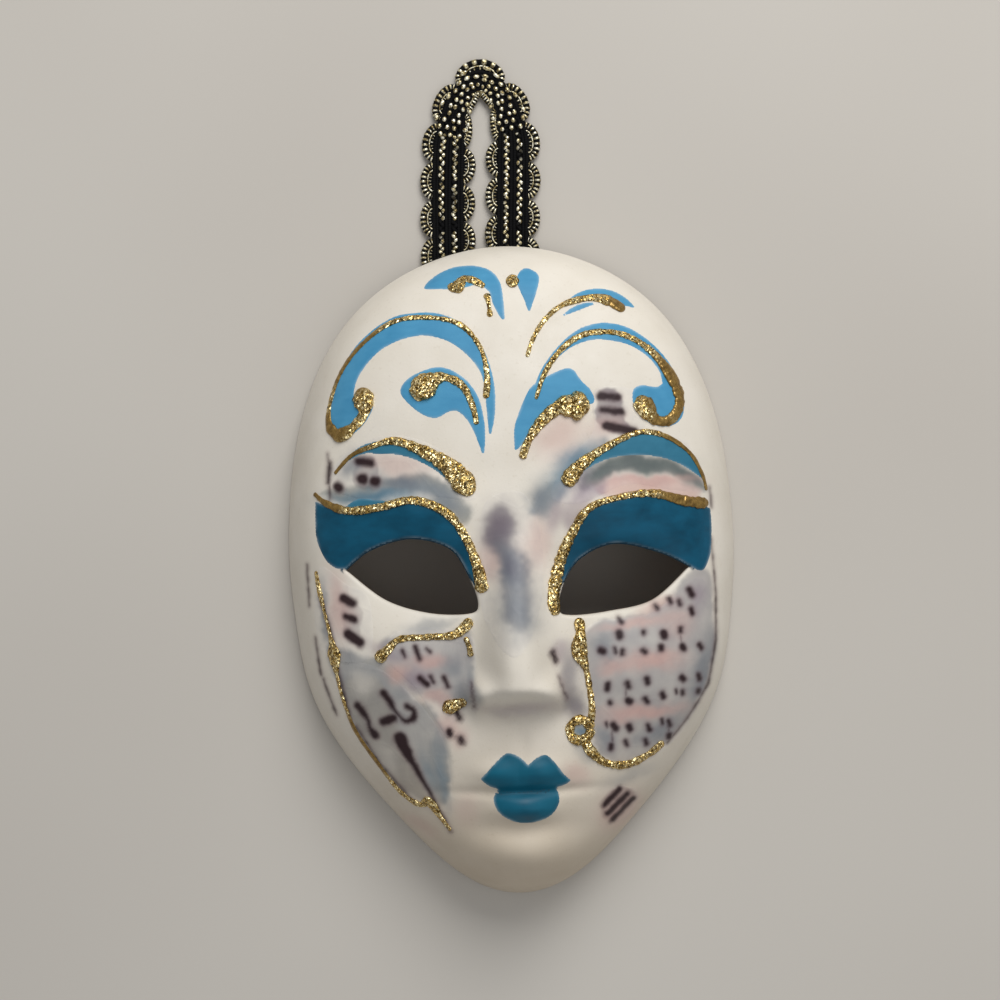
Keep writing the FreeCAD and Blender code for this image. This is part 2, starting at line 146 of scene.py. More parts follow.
def side_wall(inset):
    steepness = SIDE_RISE / SIDE_SPREAD
    inside = SIDE_RISE * (1.0 - np.exp(-np.maximum(inset, 0.0) / SIDE_SPREAD))
    outside = -SIDE_FLOOR * (1.0 - np.exp(np.minimum(inset, 0.0) * steepness / SIDE_FLOOR))
    return np.where(inset >= 0.0, inside, outside)


def face_height(x, y, shrink=0.0, drop=0.0, detail=1.0):
    x, y = np.asarray(x, float), np.asarray(y, float)
    distance = np.hypot(x, y)
    radius = rim_radius(np.arctan2(np.abs(x), y))
    dome = DOME_RISE * (1.0 - (distance / radius) ** 2)
    return side_wall(radius - distance - shrink) + dome + detail * features(x, y) - drop


def inner_height(x, y):
    return face_height(x, y, WALL_SIDE, WALL_FRONT, INNER_DETAIL)


def rim_height(y):
    return LIFT_HEIGHT * smooth_step((y - LIFT_START_Y) / (LIFT_FULL_Y - LIFT_START_Y))


# ---- curves, noise and meshes ----

def smooth_curve(points, step, closed=False):
    """Points about one step apart on a smooth curve; a point given twice is a corner."""
    points = [np.array(p, float) for p in points]
    padded = [points[-1]] + points + points[:2] if closed else points[:1] + points + points[-1:]
    route = []
    for a, b, c, d in zip(padded, padded[1:], padded[2:], padded[3:]):
        reach = math.hypot(*(c - b)[:2])
        if reach < 1e-9:
            continue
        count = max(1, int(math.ceil(reach / step)))
        for t in np.arange(count) / count:
            route.append(0.5 * (2 * b + (c - a) * t + (2 * a - 5 * b + 4 * c - d) * t ** 2
                                + (3 * b - a - 3 * c + d) * t ** 3))
    if not closed:
        route.append(points[-1])
    return np.array(route)


def noise(points, size, seed=0):
    """Smooth random values from -1 to 1 that change over this size."""
    cell = np.floor(points / size)
    part = points / size - cell
    part = part * part * (3 - 2 * part)
    total = np.zeros(len(points))
    for corner in np.ndindex(*(2,) * points.shape[1]):
        corner = np.array(corner)
        key = (cell + corner) @ np.array([127.1, 311.7, 74.7])[:points.shape[1]] + 17.3 * seed
        value = np.modf(np.abs(np.sin(key) * 43758.5453))[0]
        total += value * np.prod(np.where(corner, part, 1 - part), axis=1)
    return 2 * total - 1


def inside_polygon(x, y, polygon):
    x0, y0 = polygon[:, 0], polygon[:, 1]
    x1, y1 = np.roll(x0, -1), np.roll(y0, -1)
    hits = np.zeros(len(x), int)
    for a, b, c, d in zip(x0, y0, x1, y1):
        crosses = (b > y) != (d > y)
        with np.errstate(divide="ignore", invalid="ignore"):
            hits += crosses & (x < (c - a) * (y - b) / (d - b) + a)
    return hits % 2 == 1


def distance_to(x, y, line, closed=True):
    """Distance from each point to a polyline."""
    ends = np.roll(line, -1, axis=0) if closed else line[1:]
    starts = line if closed else line[:-1]
    best = np.full(len(x), 1e9)
    for a, b in zip(starts, ends):
        ab = b - a
        t = np.clip(((x - a[0]) * ab[0] + (y - a[1]) * ab[1]) / max(ab @ ab, 1e-12), 0, 1)
        best = np.minimum(best, np.hypot(x - a[0] - t * ab[0], y - a[1] - t * ab[1]))
    return best


def make_mesh(name, vertices, faces, material):
    """A smooth-shaded piece from vertices in millimetres."""
    mesh = bpy.data.meshes.new(name)
    mesh.from_pydata((np.asarray(vertices) * MM).tolist(), [], [tuple(map(int, f)) for f in faces])
    mesh.materials.append(material)
    mesh.shade_smooth()
    mesh.validate()
    piece = bpy.data.objects.new(name, mesh)
    bpy.context.scene.collection.objects.link(piece)
    return piece


def set_values(piece, name, values):
    attribute = piece.data.attributes.new(name, "FLOAT", "POINT")
    attribute.data.foreach_set("value", np.asarray(values, np.float32))


def set_colours(piece, name, colours):
    attribute = piece.data.attributes.new(name, "FLOAT_COLOR", "POINT")
    rgba = np.ones((len(colours), 4), np.float32)
    rgba[:, :3] = colours
    attribute.data.foreach_set("color", rgba.ravel())


def triangulate(points, loops, holes=()):
    """Triangles between the points, inside the first loop and outside the holes.

    loops are lists of indices of points that the triangles' edges follow."""
    edges = [(a, b) for loop in loops for a, b in zip(loop, loop[1:] + loop[:1])]
    found = delaunay_2d_cdt([Vector(p) for p in points], edges, [], 0, 1e-7)
    flat = np.array([tuple(v) for v in found[0]])
    triangles = np.array([t for t in found[2] if len(t) == 3])
    middle = flat[triangles].mean(1)
    keep = inside_polygon(middle[:, 0], middle[:, 1], np.asarray(points)[loops[0]])
    for hole in holes:
        keep &= ~inside_polygon(middle[:, 0], middle[:, 1], hole)
    return flat, triangles[keep]


# ---- materials ----
FLAKE_TILT = 1.15        # how far the large flakes of glitter lean from the surface
FINE_TILT = 0.8          # and the fine ones between them

def linear(red, green, blue):
    """A colour named by its display values from 0 to 255."""
    return tuple(((c / 255 + 0.055) / 1.055) ** 2.4 if c > 10 else c / 3295 for c in (red, green, blue))


class Look:
    """A procedural material that is built up from its nodes."""

    def __init__(self, name, colour, roughness, metallic=0.0):
        self.material = bpy.data.materials.new(name)
        self.material.use_nodes = True
        self.tree = self.material.node_tree
        self.shader = self.tree.nodes["Principled BSDF"]
        self.shader.inputs["Base Color"].default_value = (*colour, 1)
        self.shader.inputs["Roughness"].default_value = roughness
        self.shader.inputs["Metallic"].default_value = metallic
        self.place = self.tree.nodes.new("ShaderNodeTexCoord").outputs["Object"]

    def link(self, source, target):
        self.tree.links.new(source, target)

    def noise(self, size, detail=3.0, stretch=None):
        """Noise with features of about this size in metres."""
        node = self.tree.nodes.new("ShaderNodeTexNoise")
        node.inputs["Scale"].default_value = 1.0 / size
        node.inputs["Detail"].default_value = detail
        place = self.place
        if stretch:
            mapping = self.tree.nodes.new("ShaderNodeMapping")
            mapping.inputs["Scale"].default_value = stretch
            self.link(place, mapping.inputs["Vector"])
            place = mapping.outputs["Vector"]
        self.link(place, node.inputs["Vector"])
        return node.outputs["Fac"]

    def cells(self, size, feature="F1"):
        node = self.tree.nodes.new("ShaderNodeTexVoronoi")
        node.feature = feature
        node.inputs["Scale"].default_value = 1.0 / size
        self.link(self.place, node.inputs["Vector"])
        return node

    def ramp(self, source, *stops):
        """Colours or values at places along a source from 0 to 1."""
        node = self.tree.nodes.new("ShaderNodeValToRGB")
        while len(node.color_ramp.elements) < len(stops):
            node.color_ramp.elements.new(0.5)
        for element, (place, value) in zip(node.color_ramp.elements, stops):
            element.position = place
            element.color = (*value, 1) if hasattr(value, "__len__") else (value, value, value, 1)
        self.link(source, node.inputs["Fac"])
        return node.outputs["Color"]

    def mix(self, a, b, share, blend="MIX"):
        node = self.tree.nodes.new("ShaderNodeMix")
        node.data_type = "RGBA"
        node.blend_type = blend
        for source, socket in ((a, node.inputs[6]), (b, node.inputs[7]), (share, node.inputs[0])):
            if isinstance(source, bpy.types.NodeSocket):
                self.link(source, socket)
            elif hasattr(source, "__len__"):
                socket.default_value = (*source, 1)
            else:
                socket.default_value = source
        return node.outputs[2]

    def attribute(self, name, output="Fac"):
        node = self.tree.nodes.new("ShaderNodeAttribute")
        node.attribute_name = name
        return node.outputs[output]

    def bump(self, height, strength, distance, below=None):
        node = self.tree.nodes.new("ShaderNodeBump")
        node.inputs["Strength"].default_value = strength
        node.inputs["Distance"].default_value = distance
        self.link(height, node.inputs["Height"])
        if below:
            self.link(below, node.inputs["Normal"])
        return node.outputs["Normal"]

    def vector(self, operation, first, second=0.0):
        """One step of vector arithmetic between sockets or plain numbers."""
        node = self.tree.nodes.new("ShaderNodeVectorMath")
        node.operation = operation
        for source, socket in zip((first, second), node.inputs):
            if isinstance(source, bpy.types.NodeSocket):
                self.link(source, socket)
            else:
                socket.default_value = (source, source, source)
        return node.outputs[0]

    def tilted(self, first, second, share):
        """The surface normal, tilted at random from cell to cell."""
        total = self.tree.nodes.new("ShaderNodeNewGeometry").outputs["Normal"]
        for source, amount in ((first, FLAKE_TILT), (second, FINE_TILT)):
            tilt = self.vector("MULTIPLY", self.vector("SUBTRACT", source, 0.5), amount)
            total = self.vector("ADD", total, self.vector("MULTIPLY", tilt, share))
        return self.vector("NORMALIZE", total)

    def finish(self, colour=None, roughness=None, normal=None, metallic=None):
        for source, name in ((colour, "Base Color"), (roughness, "Roughness"), (normal, "Normal"),
                             (metallic, "Metallic")):
            if source:
                self.link(source, self.shader.inputs[name])
        return self.material


def bisque_material():
    """Matt unglazed white body; tints that soak into it, and a few spots of painted shade and painted
    highlight, come from the mesh.
    """
    look = Look("bisque", linear(226, 221, 212), 0.7)
    tint = look.attribute("tint", "Color")
    mottle = look.ramp(look.noise(0.011, 4), (0.3, (0.93, 0.92, 0.90)), (0.7, (1, 1, 1)))
    specks = look.ramp(look.noise(0.0009, 2), (0.30, (0.86, 0.84, 0.80)), (0.36, (1, 1, 1)))
    colour = look.mix(look.mix(tint, mottle, 1.0, "MULTIPLY"), specks, 0.35, "MULTIPLY")
    grain = look.bump(look.noise(0.0006, 4), 0.12, 0.0002)
    uneven = look.bump(look.noise(0.006, 2), 0.10, 0.0006, grain)
    return look.finish(colour, look.ramp(look.noise(0.004, 3), (0.3, 0.55), (0.7, 0.74)), uneven)


def tissue_material():
    """Printed tissue under brushed satin varnish."""
    look = Look("varnished_tissue", linear(214, 208, 204), 0.42)
    tint = look.attribute("tint", "Color")
    mottle = look.ramp(look.noise(0.003, 5), (0.3, (0.90, 0.90, 0.92)), (0.7, (1, 1, 1)))
    colour = look.mix(tint, mottle, 1.0, "MULTIPLY")
    creases = look.ramp(look.cells(0.009, "DISTANCE_TO_EDGE").outputs["Distance"], (0.0, 1), (0.05, 0))
    folds = look.bump(creases, 0.10, 0.0002)
    brushed = look.bump(look.noise(0.0007, 3, (1, 0.25, 1)), 0.14, 0.0002, folds)
    look.shader.inputs["Specular IOR Level"].default_value = 0.3
    look.shader.inputs["Coat Weight"].default_value = 0.08
    look.shader.inputs["Coat Roughness"].default_value = 0.4
    return look.finish(colour, look.ramp(look.noise(0.002, 3), (0.3, 0.46), (0.7, 0.64)), brushed)


def paint_material(name, light, dark, roughness):
    """Brushed acrylic paint with streaks and pooled edges."""
    look = Look(name, light, roughness)
    look.shader.inputs["Specular IOR Level"].default_value = 0.22
    streaks = look.noise(0.0016, 4, (0.25, 1.0, 1.0))
    pools = look.noise(0.007, 3)
    colour = look.mix(look.ramp(streaks, (0.2, dark), (0.8, light)),
                      look.ramp(pools, (0.3, dark), (0.6, light)), 0.5)
    colour = look.mix(colour, linear(205, 222, 230), look.attribute("thin"))
    surface = look.bump(streaks, 0.16, 0.00015)
    return look.finish(colour, look.ramp(pools, (0.3, roughness - 0.08), (0.7, roughness + 0.1)),
                       look.bump(look.noise(0.0004, 2), 0.08, 0.0001, surface))


def gold_material():
    """Gold glitter set in paste: tilted flakes coloured from dark brown through gold to pale cream, the
    darkest painted shade and the palest painted glints; dull gold where it is brushed flat.
    """
    look = Look("gold_relief", linear(196, 160, 84), 0.3, 1.0)
    flakes = look.cells(0.00045)
    fine = look.cells(0.00024)
    # The flake and sparkle colours darken some flakes and whiten others: painted shade and painted glints on
    # top of the tilt.
    flake = look.ramp(flakes.outputs["Color"], (0.25, linear(92, 66, 24)), (0.40, linear(160, 122, 50)),
                      (0.58, linear(212, 172, 84)), (0.75, linear(255, 240, 190)))
    sparkle = look.ramp(fine.outputs["Color"], (0.28, linear(100, 74, 28)), (0.48, linear(196, 156, 76)),
                        (0.72, linear(255, 238, 180)))
    glitter = look.mix(flake, sparkle, 0.4)
    dull = look.ramp(look.noise(0.0012, 4), (0.3, linear(112, 86, 40)), (0.7, linear(164, 132, 70)))
    grain = look.attribute("grain")
    colour = look.mix(dull, glitter, grain)
    tilt = look.tilted(flakes.outputs["Color"], fine.outputs["Color"], grain)
    return look.finish(colour, look.ramp(fine.outputs["Color"], (0.3, 0.18), (0.7, 0.42)), tilt,
                       look.ramp(grain, (0.0, 0.6), (1.0, 0.95)))


def braid_material():
    """Black rayon cord and flat metal thread, told apart by the mesh."""
    look = Look("gimp_braid", linear(8, 8, 9), 0.7)
    strands = look.noise(0.00018, 2)
    black = look.ramp(strands, (0.3, linear(2, 2, 2)), (0.8, linear(15, 14, 16)))
    metal = look.cells(0.00045).outputs["Color"]
    gold = look.ramp(metal, (0.25, linear(128, 112, 74)), (0.5, linear(214, 200, 154)),
                     (0.75, linear(255, 250, 228)))
    share = look.attribute("gold")
    look.shader.inputs["Specular IOR Level"].default_value = 0.12
    return look.finish(look.mix(black, gold, share), look.ramp(share, (0.0, 0.75), (1.0, 0.32)),
                       look.bump(strands, 0.5, 0.00012), look.ramp(share, (0.0, 0.0), (1.0, 0.8)))


def glue_material():
    """Milky hot-melt glue."""
    look = Look("glue", linear(214, 202, 170), 0.35)
    look.shader.inputs["Transmission Weight"].default_value = 0.25
    look.shader.inputs["Subsurface Weight"].default_value = 0.3
    look.shader.inputs["Subsurface Scale"].default_value = 0.002
    cloud = look.ramp(look.noise(0.003, 3), (0.3, linear(196, 180, 140)), (0.7, linear(228, 220, 196)))
    return look.finish(cloud, look.ramp(look.noise(0.002, 2), (0.3, 0.22), (0.7, 0.45)),
                       look.bump(look.noise(0.0015, 2), 0.3, 0.0004))


# ---- what is printed on the tissue and washed over the body, with a few spots of painted shade and painted highlight: colours only ----
WHITE = np.array(linear(228, 221, 208))
WARM_TINT_AND_SHADE = np.array(linear(186, 168, 142))
SLATE = np.array(linear(112, 120, 128))
ASH = np.array(linear(144, 142, 144))
PINK = np.array(linear(202, 168, 158))
MAUVE = np.array(linear(146, 128, 140))
PLUM = np.array(linear(92, 78, 92))
DUSK = np.array(linear(94, 102, 100))
BRUISE = np.array(linear(116, 110, 116))
SMEAR = np.array(linear(86, 114, 130))
TEAL = np.array(linear(66, 116, 140))
PURPLE = np.array(linear(104, 62, 76))
BEIGE = np.array(linear(164, 156, 142))
INK = np.array(linear(34, 6, 12))
# Watercolour areas: closed outline, colour, strength, how far the edge fades.
WASHES = [
    ([(-44, -17), (-36, -17.5), (-29.5, -20), (-24, -26), (-18.5, -32), (-16, -40), (-15.4, -47),
     (-17.4, -53), (-21.5, -54), (-28, -50), (-33.6, -42.5), (-38.6, -35),
     (-41.6, -26)], SLATE, 0.72, 1.8),
    ([(-31, -14.5), (-26, -13), (-16, -12.4), (-9.8, -13), (-9.8, -22), (-11.4, -29), (-17, -30),
     (-24, -25), (-30, -20)], ASH, 0.75, 2.0),
    ([(42, -0.5), (46.4, -1), (47.8, -12), (46.4, -24), (42, -33), (35, -41.4), (27, -44.8), (19.4, -43),
     (17, -38), (16.8, -30), (16, -22), (15.8, -14), (21, -10.6), (31, -9.4), (38, -5)], ASH, 0.75, 1.4),
    ([(20.8, 42), (26, 41.6), (27.6, 35), (30.4, 32.6), (28.6, 31.2), (24, 32.4),
     (21.4, 34.6)], PLUM, 0.7, 0.9),
    ([(-36, 28.6), (-31.8, 28), (-30, 23.4), (-30.4, 21.2), (-35.8, 22)], PLUM, 0.45, 0.8),
    ([(-40.4, -3.4), (-37, -4.2), (-35.4, -15.4), (-38.6, -15), (-40, -9)], PLUM, 0.35, 0.9),
    ([(19.6, -54.8), (23.6, -50.8), (27.6, -54.2), (22, -60)], PLUM, 0.7, 0.9),
    ([(16, 22), (22, 25.6), (28, 27), (34, 27), (39, 25.4), (43.6, 22.6), (46.6, 18.6), (44.4, 18.4),
     (40, 21.4), (34, 23.2), (27, 23), (21, 21), (17, 19)], DUSK, 0.9, 2.0),
    ([(20, 19.6), (27, 22), (34, 22.4), (40, 20.6), (45, 17.8), (41, 15.4), (33, 17),
     (24, 16.6)], PINK, 0.85, 1.6),
    ([(12, 11.6), (13.6, 17), (17, 20.6), (22, 22), (22.6, 18), (18, 15.4), (14, 9)], MAUVE, 0.6, 2.4),
    ([(-45, 19.4), (-38, 18.6), (-30, 18.8), (-23, 20), (-16, 17.6), (-11, 12.6), (-9.4, 14.6),
     (-12.6, 19.4), (-18, 23), (-25, 24), (-32, 22.6), (-40, 21.8)], DUSK, 0.7, 1.8),
    ([(-5.8, 15), (-3.4, 16.6), (-0.8, 15.4), (0.4, 10), (2.2, 5), (4, 0), (4.4, -6), (3, -11), (0, -12.6),
     (-2.4, -10), (-2.8, -4), (-3, 1), (-4.8, 6), (-6, 11)], BRUISE, 0.66, 2.8),
    ([(3.4, 13.6), (5.2, 17), (9.2, 21.6), (14.2, 26), (19, 29.4), (23, 31), (21.6, 27), (16, 22.4),
     (12, 17.6), (8, 13.4)], SMEAR, 0.78, 2.6),
    ([(-41, -26), (-36, -22), (-30, -27), (-27, -36), (-25, -44), (-22, -52), (-28, -49.6), (-33.6, -42),
     (-38.4, -35)], BEIGE, 0.5, 2.6),
    ([(-18.5, -34), (-16, -40), (-15.4, -47), (-17.4, -53), (-20, -50), (-21, -42)], SMEAR, 0.4, 2.0),
]
# Soft spots: x, y, half width, half length, turn in degrees, colour, strength.
SPOTS = [
    # The first spot warms and darkens the lower face towards the chin: partly a warm tint, partly painted
    # shade away from the light above the forehead.
    (0, -82, 60, 40, 0, WARM_TINT_AND_SHADE, 0.72), (-2.8, 10.5, 3.8, 6, 8, PLUM, 0.8),
    (-0.2, 1.5, 4, 6.6, 20, SLATE, 0.95), (-0.6, 2, 2, 4, 20, PLUM, 0.4),
    (1, -8.5, 5, 5.6, 0, SLATE, 0.75), (-5.4, 3, 2.2, 5, 10, PINK, 0.55),
    (6, 8, 3.4, 6.4, -12, PINK, 0.55), (6.9, 18, 4.2, 3.4, 50, SLATE, 0.85),
    (14, 26, 6.4, 2.6, 34, TEAL, 0.8), (17.6, 21, 4.6, 3.4, 20, MAUVE, 0.7),
    (11.4, 31.6, 7, 4.6, 30, PINK, 0.6), (23, 33.6, 5, 2.6, 25, PINK, 0.5),
    (10.8, 14, 2.0, 4.4, -20, MAUVE, 0.6), (32, 25, 9.5, 2.4, 0, DUSK, 0.95),
    (21, 23.2, 5.4, 2.4, 28, DUSK, 0.95), (41.6, 22, 4.6, 1.8, -42, DUSK, 0.9),
    (33, 21, 10, 1.5, 0, PINK, 0.9), (-31, 19.2, 11.5, 2.0, 2, TEAL, 0.8),
    (-24.4, 21.8, 6.4, 2.4, -14, SLATE, 0.9), (-15, 17.6, 5, 2.6, -34, SLATE, 0.8),
    (-26, 26.4, 8, 2.2, -12, PINK, 0.5), (-37.2, 27, 2.4, 3.6, -40, SLATE, 0.7),
    (-40.8, -6, 2.8, 8, 4, PINK, 0.7), (-44.4, -9, 1.2, 8, 8, SLATE, 0.7),
    (-30, -16.6, 4, 2, -20, MAUVE, 0.5), (-19, -10.8, 6, 1.6, 8, SLATE, 0.55),
    (-27.4, -21.6, 3, 2.4, 0, PINK, 0.85), (-20, -18.8, 4.6, 1.8, 0, PINK, 0.8),
    (-18.6, -27.6, 3, 2, 0, PINK, 0.7), (-14.6, -20.4, 3, 4, 20, SLATE, 0.6),
    (-23, -23, 3, 3, 20, MAUVE, 0.6), (-12.6, -27.6, 2.4, 3, 0, SLATE, 0.6),
    (-16.4, -33.6, 2.6, 3.4, 0, PINK, 0.6), (-13.6, -36.6, 2.4, 3, 0, PINK, 0.5),
    # The two WHITE spots on the left cheek are painted highlights: glossy glints on the varnish, put in as
    # lighter patches.
    (-36, -24, 2.6, 3.4, 30, WHITE, 0.55), (-31.4, -42.4, 3, 5, 34, WHITE, 0.35),
    (-21, -46, 2, 6, 14, TEAL, 0.35), (-17.4, -47, 1.6, 7, 6, TEAL, 0.4), (-12.4, -55, 3, 4, 0, PINK, 0.3),
    (32, -20.6, 8, 2.4, 0, PINK, 0.95), (22.4, -21.6, 3.4, 2.0, 0, PINK, 0.7),
    (29, -33, 10, 2.0, 0, PINK, 0.95), (28, -11.8, 9, 1.2, 6, PINK, 0.7),
    (38.6, -12.4, 4, 4, 0, PINK, 0.45), (33, -8, 5, 1.6, 20, PINK, 0.6),
    (20.6, -17.6, 2.6, 3.4, 0, SLATE, 0.6), (44.6, -24, 2.4, 9, -16, SLATE, 0.7),
    (20.4, -38.4, 2.4, 4, 0, SLATE, 0.6), (33, -38.6, 6, 2.4, 20, SLATE, 0.6),
    # The BRUISE spots at x 12.6 and 13.4 and the SLATE spot at x -9.8 are painted shade beside the nose
    # wings.
    (44, -6, 2.4, 4, 0, MAUVE, 0.5), (12.6, -23, 2.4, 6, 4, BRUISE, 0.75),
    (13.4, -30, 2.2, 3.6, 10, BRUISE, 0.8), (14.5, -36.3, 2, 2, 0, SMEAR, 0.9),
    (10, -17.6, 1.8, 3, 0, MAUVE, 0.5), (-9.8, -25, 1.3, 6, 4, SLATE, 0.6),
    # The MAUVE band at y -30.6 darkens the underside of the nose: partly a brownish tint, partly painted
    # shade.
    (1, -30.6, 10, 1.8, 0, MAUVE, 0.4), (13.6, -46.6, 3.4, 2.6, -20, PINK, 0.5),
    (24, -57.4, 5.4, 6, 10, PINK, 0.55), (16, -41.6, 3, 2, -30, SLATE, 0.5),
    (-24, -60, 5, 2.4, -34, PINK, 0.35), (26, -48.4, 6, 2, 14, SLATE, 0.35),
]
# Dark blurred strokes: x0, y0, x1, y1, half width.
MARKS = [
    (21.6, 41, 25.6, 40.6, 0.95), (21.9, 37.7, 26.4, 37.1, 0.8), (22.8, 34, 29.2, 32.5, 1.05),
    (-35.2, 27.5, -32.3, 27.1, 0.95), (-34.6, 23.4, -34.2, 23.3, 1.25), (-31.7, 22.7, -31.3, 22.6, 1.2),
    (-40.5, 21.7, -40.2, 21.5, 1.15), (-42.3, 27.4, -42.8, 22.8, 0.5), (-42.8, 29.6, -42.4, 18.8, 0.1),
    (-39.7, -4.4, -37.7, -5.7, 1.05), (-39.4, -8.7, -37.3, -9.4, 0.85), (-38.9, -12.8, -36.1, -14.7, 1.15),
    (-48.9, 3.4, -48.7, -6.4, 0.12), (-47.4, -14, -46.4, -23, 0.16), (-45.8, -24, -43, -32.5, 0.2),
    (-45.4, -5, -42.6, -14.6, 0.2), (-41.8, -21, -39.2, -33.4, 0.14), (-38, -35, -32.4, -44.4, 0.12),
    (-32.2, -44.6, -25.6, -52.6, 0.1), (-31.3, -33.6, -28.7, -32.5, 0.95), (-14, -31, -13.3, -32.7, 0.7),
    (-15.8, -35.8, -15.6, -36.4, 0.8), (-13.3, -37.4, -13, -38.2, 0.8), (-23, -15.8, -22.1, -18.5, 0.5),
    (-22.2, -23, -20.5, -24.5, 0.7), (-19.7, -22.8, -19.1, -24, 0.45), (-16.6, -23, -15.7, -25.2, 0.5),
    (-26, -16.6, -25.5, -18, 0.3), (-20.4, -16.2, -19.6, -17, 0.3), (8.5, -17.6, 9.2, -19.7, 0.6),
    # The faint strokes from x 9.7 to 11.4 and from x -10.2 to -9.7 are painted shade along the edges of the
    # nose wings.
    (9.7, -23, 11.4, -28.4, 0.05), (-10.2, -24, -9.7, -30, 0.08), (47.2, 7, 48.3, -6, 0.1),
    (48.3, -6, 48.2, -17.4, 0.18), (48.2, -17.4, 46.2, -28, 0.24), (46.2, -28, 40.6, -35.8, 0.2),
    (40.6, -35.8, 35.6, -41.2, 0.14), (47.5, 19, 47.7, 14.4, 0.1), (20, -54.8, 23.6, -51.4, 0.72),
    (20.8, -57.2, 25.4, -53, 0.72), (22, -59.2, 27.1, -54.6, 0.72), (24.2, -10.6, 24.8, -11.6, 0.5),
    (32.8, -8, 33.4, -8.8, 0.45), (36.4, -6.8, 36.7, -7.6, 0.6), (38.7, -7.4, 38.9, -8.2, 0.6),
    (41.4, -4.8, 41.9, -6, 0.8), (41.6, -9.4, 41.9, -10.4, 0.62),
]
# Longer curved strokes: x, y, half width at each point.
CURLS = [
    [(-37.2, -29.8, 0.9), (-36, -31.4, 0.85), (-34.9, -33.2, 0.4), (-34.6, -35, 0.5),
     (-33.4, -36.8, 1.05)],
    [(-30.8, -26.6, 0.85), (-29.4, -28.6, 0.75), (-28, -31.2, 0.4), (-26, -33.2, 0.5),
     (-24.2, -32.6, 0.75), (-23.9, -30.8, 0.5), (-25.4, -29.7, 0.75)],
    [(-27.4, -37.6, 1.6), (-26.2, -40.4, 1.25), (-24.6, -43.6, 0.8), (-22.6, -47.4, 0.45),
     (-20, -52.4, 0.25), (-16.3, -60.2, 0.2)],
]
# Rows of paired notes on the right cheek: y of each row of a pair, first and last x, spacing.
NOTE_PAIRS = [(-14, -17.6, 19.8, 43.4, 4.7), (-25.4, -29.4, 21.2, 44.2, 4.3), (-36, -40, 21.6, 39, 4.6)]
MARK_BLUR = 0.58


def note_marks():
    """Blurred pairs of notes with faint stems, none quite like the next."""
    random = np.random.default_rng(7)
    marks = []
    for upper, lower, left, right, spacing in NOTE_PAIRS:
        for x in np.arange(left, right, spacing):
            x += random.uniform(-0.7, 0.7)
            for y, likely in ((upper, 0.85), (lower, 1.0)):
                if random.random() > likely:
                    continue
                u, v = x + random.uniform(-0.5, 0.5), y + random.uniform(-0.7, 0.7)
                wide, long = random.uniform(-0.2, 0.5), random.uniform(0.2, 1.2)
                marks.append((u, v, u + wide, v - long, random.uniform(0.55, 0.9)))
                if random.random() < 0.12:
                    marks.append((u - 1.7, v + 0.6, u - 1.5, v - 0.4, random.uniform(0.2, 0.5)))
            if random.random() < 0.3:
                marks.append((x, upper - 0.5, x + random.uniform(-0.3, 0.3), lower + 0.6, -0.08))
    return marks


def curl_marks():
    marks = []
    for points in CURLS:
        route = smooth_curve(points, 0.8)
        marks += [(a[0], a[1], b[0], b[1], (a[2] + b[2]) / 2) for a, b in zip(route, route[1:])]
    return marks


def print_and_painted_light_colour(x, y):
    """Colour of the face at each place: white body, washes, spots, then dark marks with purple edges; a few
    of the spots and marks are painted shade or painted highlights.
    """
    here = np.stack([x, y], 1)
    wobble_x = x + 0.9 * noise(here, 4, 1) + 0.3 * noise(here, 1.1, 8)
    wobble_y = y + 0.9 * noise(here, 4, 2) + 0.3 * noise(here, 1.1, 9)
    colour = np.repeat(WHITE[None], len(x), 0)

    def lay(share, tint):
        share = share[:, None]
        return colour * (1 - share) + tint * share

    for outline, tint, strength, fade in WASHES:
        edge = smooth_curve(outline, 1.2, closed=True)
        low, high = edge.min(0) - 3, edge.max(0) + 3
        near = np.nonzero((x > low[0]) & (x < high[0]) & (y > low[1]) & (y < high[1]))[0]
        away = distance_to(wobble_x[near], wobble_y[near], edge)
        away *= np.where(inside_polygon(wobble_x[near], wobble_y[near], edge), 1, -1)
        share = np.zeros(len(x))
        share[near] = strength * smooth_step(away / fade + 0.5) * (0.86 + 0.14 * noise(here[near], 3, 4))
        colour = lay(share, tint)
    for x0, y0, half_width, half_length, turn, tint, strength in SPOTS:
        c, s = math.cos(math.radians(turn)), math.sin(math.radians(turn))
        u = ((wobble_x - x0) * c + (wobble_y - y0) * s) / half_width
        v = ((wobble_y - y0) * c - (wobble_x - x0) * s) / half_length
        colour = lay(strength * np.exp(-(u * u + v * v) ** 1.3), tint)
    halo, ink = np.zeros(len(x)), np.zeros(len(x))
    jitter = 0.16 * noise(here, 1.3, 3) + 0.05 * noise(here, 0.5, 5)
    for x0, y0, x1, y1, half_width in MARKS + curl_marks() + note_marks():
        middle_x, middle_y = (x0 + x1) / 2, (y0 + y1) / 2
        reach = math.hypot(x1 - x0, y1 - y0) / 2 + half_width + 2
        near = np.nonzero((np.abs(x - middle_x) < reach) & (np.abs(y - middle_y) < reach))[0]
        away = distance_to(x[near], y[near], np.array([[x0, y0], [x1, y1]]), closed=False)
        inset = half_width + jitter[near] - away
        ink[near] = np.maximum(ink[near], smooth_step((inset + MARK_BLUR) / (2 * MARK_BLUR)))
        halo[near] = np.maximum(halo[near], smooth_step((inset + 2.2 * MARK_BLUR) / (3 * MARK_BLUR)))
    colour = lay(0.42 * halo, PURPLE)
    return lay(0.97 * ink, INK)


